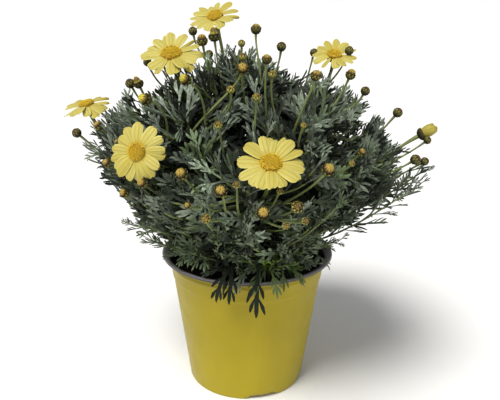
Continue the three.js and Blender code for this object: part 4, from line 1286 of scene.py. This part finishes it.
# Buds: (head, diameter, look, branch, seat); a look is dark, tan, orange or yellow
BUDS = [
    ((-30, -8, 240), 7, "orange", "crown", 0.7),
    ((-22, -16, 243.5), 7.4, "cone", "crown", 0.78),
    ((4, 0, 247), 6.6, "tan_top", "crown", 0.92),
    ((20, -12, 237), 5.8, "dark", "crown", 0.88),
    ((10, -45, 232), 5.6, "tan_top", "shoulder_front_right", 0.62),
    ((-4, -60, 228), 6.6, "orange", "shoulder_front_left", 0.9),
    ((-36, -56, 221), 6.4, "yellow", "shoulder_front_left", 0.8),
    ((-67, -34, 216), 6.2, "cone", "shoulder_front_left", 0.7),
    ((-59, -58, 210), 6.8, "yellow", "waist_front_left", 0.8),
    ((38, -54, 224), 6, "tan", "shoulder_front_right", 0.75),
    ((62, -28, 222), 6.2, "orange", "shoulder_front_right", 0.85),
    ((73, -20, 211), 5.6, "dark", "shoulder_front_right", 0.95),
    ((94, -22, 198), 6, "dark", "waist_front_right", 0.7),
    ((103, -40, 172), 6.2, "dark", "waist_front_right", 0.95),
    ((42, -98, 180), 6.8, "orange", "waist_front", 0.7),
    ((8, -108, 159), 6.8, "orange", "waist_front", 0.9),
    ((-14, -106, 170), 6.4, "orange", "waist_front", 0.6),
    ((-35, -99, 177), 6.4, "orange", "waist_front", 0.7),
    ((-71, -72, 158), 5.4, "orange", "waist_front_left", 0.7),
    ((-109, -24, 183), 5.8, "dark", "waist_front_left", 0.5),
]
# Buds that lean another way than away from the middle, and the buds and flowers whose stalks show in front of the
# leaves, with the length that shows
BUD_FACINGS = {6: (0.1, -0.8, 0.6), 7: (-0.6, -0.65, 0.5), 9: (-0.7, -0.6, 0.4)}
OPEN_STALKS = {3: 20, 5: 26, 6: 34, 7: 26, 9: 20, 10: 30, 15: 36, 16: 10, 17: 24, 18: 12}
OPEN_FLOWER_STALKS = {6: 30}
# The camera's place in millimetres
FRONT_VIEW = np.array([0, -423.7, 264.7])
# Tone of the top, how yellow the bract edges and ribs are, tone of the bracts, how high they end, height of the top
BUD_LOOKS = {
    "dark": (0.1, 0.4, 0.0, 0.26, 0.9), "tan_top": (0.48, 0.3, 0.1, 0.1, 0.9), "tan": (0.42, 0.7, 0.15, 0.0, 0.9),
    "orange": (0.51, 0.75, 0.25, -0.08, 0.98), "yellow": (0.85, 0.5, 0.1, -0.1, 1.2),
    "cone": (1.0, 0.4, 0.1, -0.2, 1.6), "green": (0.3, 1.0, 0.8, 0.26, 0.9), "spotted": (0.22, 1.0, 0.1, 0.26, 0.9),
}
BUD_MATERIALS = [STALK, BRACT, BUD_TOP]
# Buds without a node of their own, in one piece for each side: (head, diameter, look)
SMALL_BUDS = {
    "top": [
        ((-37, 6, 245), 5.5, "dark"), ((-5, -15, 239), 4.4, "green"), ((-4, -32, 232), 4.8, "green"),
        ((13, -60, 225), 4.5, "green"), ((-10, -74, 218), 4.4, "green"), ((4, -80, 215), 4.3, "green"),
        ((44, 22, 231), 5.5, "dark"), ((67, 16, 233), 5.7, "dark")],
    "left": [
        ((-73, -28, 215), 5.8, "dark"), ((-57, 4, 225), 5.3, "dark"), ((-67, 4, 225), 5.3, "dark"),
        ((-58, -86, 168), 5.5, "orange"), ((-82, -62, 173), 5.2, "orange"), ((-92, -36, 190), 5.5, "orange"),
        ((-76, -60, 185), 3.5, "tan")],
    "right": [
        ((110, -36, 170), 5.0, "dark"), ((115, -20, 180), 4.8, "dark"), ((64, -70, 183), 4.4, "orange"),
        ((56, -88, 181), 3.2, "green")],
    "front": [
        ((26, -104, 161), 6.3, "spotted"), ((-22, -104, 154), 5.0, "green"), ((-32, -100, 160), 3.7, "tan"),
        ((-16, -92, 202), 4.2, "green"), ((17, -98, 168), 3.6, "green"), ((-6, -108, 174), 3.6, "green"),
        ((30, -109, 155), 3.7, "green"), ((20, -111, 153), 3.6, "green"), ((29, -90, 202), 3.0, "green")],
    "back": [
        ((-30, 62, 226), 6.0, "dark"), ((14, 70, 222), 6.4, "tan"), ((52, 58, 212), 5.6, "dark"),
        ((-52, 70, 204), 6.2, "orange"), ((78, 52, 188), 5.8, "tan"), ((-80, 62, 176), 5.4, "dark"),
        ((30, 96, 184), 6.2, "orange"), ((-20, 100, 180), 5.8, "dark"), ((-58, 88, 172), 5.4, "tan"),
        ((66, 84, 168), 5.6, "orange")],
}


def bud_facing(head, number):
    """Away from the plant's middle, apart from the numbered buds that lean another way."""
    return unit(BUD_FACINGS.get(number, (0.6 * head[0], 0.6 * head[1], head[2] - 120)))


def bud_stalk(head, diameter, branch, seat, number, count):
    facing = bud_facing(head, number)
    return stalk_path(branch, seat, BUD_STALK_RADIUS, np.array(head, float) - facing * 0.45 * diameter, facing, count)


def nearest_branch(head):
    names = [n for n in FOLIAGE if not n.startswith("skirt")]
    return min(names, key=lambda n: np.linalg.norm(group_centre(n) - head))


def bud(sheaf, head, diameter, look, branch, seat, number=None):
    """Stalk and head of a bud: scales around a closed top. Slots: 0 stalk, 1 bracts, 2 top."""
    top_tone, yellow, bract_tone, bract_end, top_height = BUD_LOOKS[look]
    path = bud_stalk(head, diameter, branch, seat, number, 16)
    radii = taper(16, [0, 0.9, 1], [0.85, 0.55, 0.85]) * (0.75 + 0.25 * min(1, diameter / 6))
    tube(sheaf, path, radii, sides=10, ribs=5, depth=0.1, tone=0.1 if number in OPEN_STALKS else 0.6)
    head, facing, radius = np.array(head, float), bud_facing(head, number), diameter / 2
    axes = head_frame(facing)
    cup_top = head + facing * 0.35 * radius
    bracts, cone = 9 if diameter > 5 else 7, look == "cone"
    green_cup(sheaf, cup_top, axes, 0.93 * radius, 1.3 * radius, bracts, bract_tone, yellow, bract_end)
    middle, wide, height = cup_top - facing * 0.25 * radius, radius * (0.78 if cone else 0.86), radius * top_height
    # The dome under the top's florets is darker than they are: painted shade between them.
    dome(sheaf, middle, axes, wide * 0.9, height * 0.86, sides=18, rings=5, slot=2, tone=top_tone * 0.4, along=0.2)
    for spread, count in ((0.97, 11), (0.62, 7), (0.28, 3)):
        for k in range(count):
            flat = spoke(axes, 2 * math.pi * (k + rng.uniform(0, 0.4)) / count)
            steps = spread * np.array([1.0, 0.84, 0.66, 0.48, 0.3])
            levels = (1 - steps if cone else np.sqrt(1 - steps ** 2)) + np.array([0, 0.02, 0.05, 0.06, 0.02])
            path = middle + np.outer(steps * wide * 0.9, flat) + np.outer(levels * height * 0.9, facing)
            tube(sheaf, path, radius * 0.175 * np.array([0.8, 1.0, 1.0, 0.8, 0.4]), sides=6, slot=2,
                 tone=np.clip(top_tone + rng.uniform(-0.15, 0.1), 0, 1))


def build_buds():
    for number, (head, diameter, look, branch, seat) in enumerate(BUDS, 1):
        sheaf = Sheaf()
        bud(sheaf, head, diameter, look, branch, seat, number)
        name = f"bud_{number:02d}"
        sheaf.make_for(name, name + "_head", BUD_MATERIALS, sharp=60)
    for side, buds in SMALL_BUDS.items():
        sheaf = Sheaf()
        for head, diameter, look in buds:
            bud(sheaf, head, diameter, look, nearest_branch(np.array(head)), rng.uniform(0.7, 0.95))
        sheaf.make("small_buds_" + side, BUD_MATERIALS, sharp=60)


def build_closed_flower():
    head, facing = np.array([114.5, -16, 184.5]), unit((0.84, -0.1, 0.53))
    axes = head_frame(facing)
    stalk = Sheaf()
    add_flower_stalk(stalk, "waist_front_right", 0.85, head - facing * 5.4, facing, 0.95, 1.4, 0.3)
    green_cup(stalk, head - facing * 1.6, axes, 3.9, 3.8, bracts=11, tone=0.05, fresh=0.1)
    stalk.make_for("closed_flower_stalk", "closed_flower_green_stalk", [STALK, BRACT], sharp=60)
    rays = Sheaf()
    for ring_radius, count, reach in ((3.3, 10, 6.2), (2.4, 8, 7.2), (1.2, 5, 7.4)):
        for k in range(count):
            out = spoke(axes, 2 * math.pi * (k + 0.5 * ring_radius) / count)
            base = head + out * ring_radius * 0.85 - facing * 1.8
            tip = head + out * ring_radius * 0.8 + facing * reach * rng.uniform(0.85, 1.1)
            furled_petal(rays, base, tip, out)
    rays.make_for("closed_flower_petals", "closed_flower_furled_petals", [PETAL], sharp=70)


def furled_petal(sheaf, base, tip, out):
    """A petal that still stands upright and bulges outwards."""
    axis = unit(tip - base)
    out = unit(out - axis * np.dot(out, axis))
    side = np.cross(axis, out)
    length = np.linalg.norm(tip - base)
    u, v = sheet_grid(9, 7)
    half = 3.5 / 2 * np.interp(u, [0, 0.3, 0.7, 0.9, 1], [0.5, 0.95, 1.0, 0.7, 0.25])
    bow = 1.15 * np.sin(math.pi * u * 0.85 + 0.2) - 0.32 * half * v * v
    furrow = 0.14 * (hump(v, 0.36, 0.14) + hump(v, -0.36, 0.14))
    surface = base + (u * length)[..., None] * axis + (half * v)[..., None] * side + (bow - furrow)[..., None] * out
    add_sheet(sheaf, surface, 0.15, tone=rng.uniform(0, 0.6), along=u, across=v, fresh=0.45)


STALKS_SEEN = sight_lines(open_stalks())
build_pot()
build_soil()
build_stems()
for group in FOLIAGE:
    build_foliage(group)
for number, flower in enumerate(FLOWERS, 1):
    build_flower(number, **flower)
build_closed_flower()
build_buds()


# Stage: pale floor and soft light
FLOOR_HALF = 600.0
# Strength of the world's light at the horizon and above
HORIZON_LIGHT, SKY_LIGHT = 1.0, 0.27


def stage():
    mesh = bpy.data.meshes.new("floor")
    corners = [(x * FLOOR_HALF, y * FLOOR_HALF, 0) for x, y in ((-1, -1), (1, -1), (1, 1), (-1, 1))]
    mesh.from_pydata(corners, [], [(0, 1, 2, 3)])
    mesh.materials.append(floor_material())
    show("floor", mesh)


def sun_light(name, towards, strength, spread, colour):
    """Even light that comes from a direction, soft over a spread in degrees."""
    data = bpy.data.lights.new(name, "SUN")
    data.energy, data.angle, data.color = strength, math.radians(spread), colour
    show(name, data).rotation_euler = Vector(towards).to_track_quat("Z", "Y").to_euler()


def shade_world(tree):
    """White at the horizon, so that the floor runs into it, and dimmer above."""
    place = tree.nodes.new("ShaderNodeTexCoord")
    parts = tree.nodes.new("ShaderNodeSeparateXYZ")
    ramp = tree.nodes.new("ShaderNodeMapRange")
    tree.links.new(place.outputs["Generated"], parts.inputs[0])
    tree.links.new(parts.outputs["Z"], ramp.inputs[0])
    for socket, value in zip(ramp.inputs[1:], (0.01, 0.06, HORIZON_LIGHT, SKY_LIGHT)):
        socket.default_value = value
    background = tree.nodes["Background"]
    background.inputs["Color"].default_value = (1, 1, 1, 1)
    tree.links.new(ramp.outputs[0], background.inputs["Strength"])


stage()
sun_light("key", (-0.42, -0.54, 1.12), 3.6, 28, (1.0, 0.985, 0.955))
sun_light("fill", (0.5, -0.9, 0.4), 0.5, 50, (0.97, 0.99, 1.0))
world = bpy.data.worlds.new("studio")
world.use_nodes = True
shade_world(world.node_tree)
bpy.context.scene.world = world
bpy.context.scene.view_settings.view_transform = "Standard"
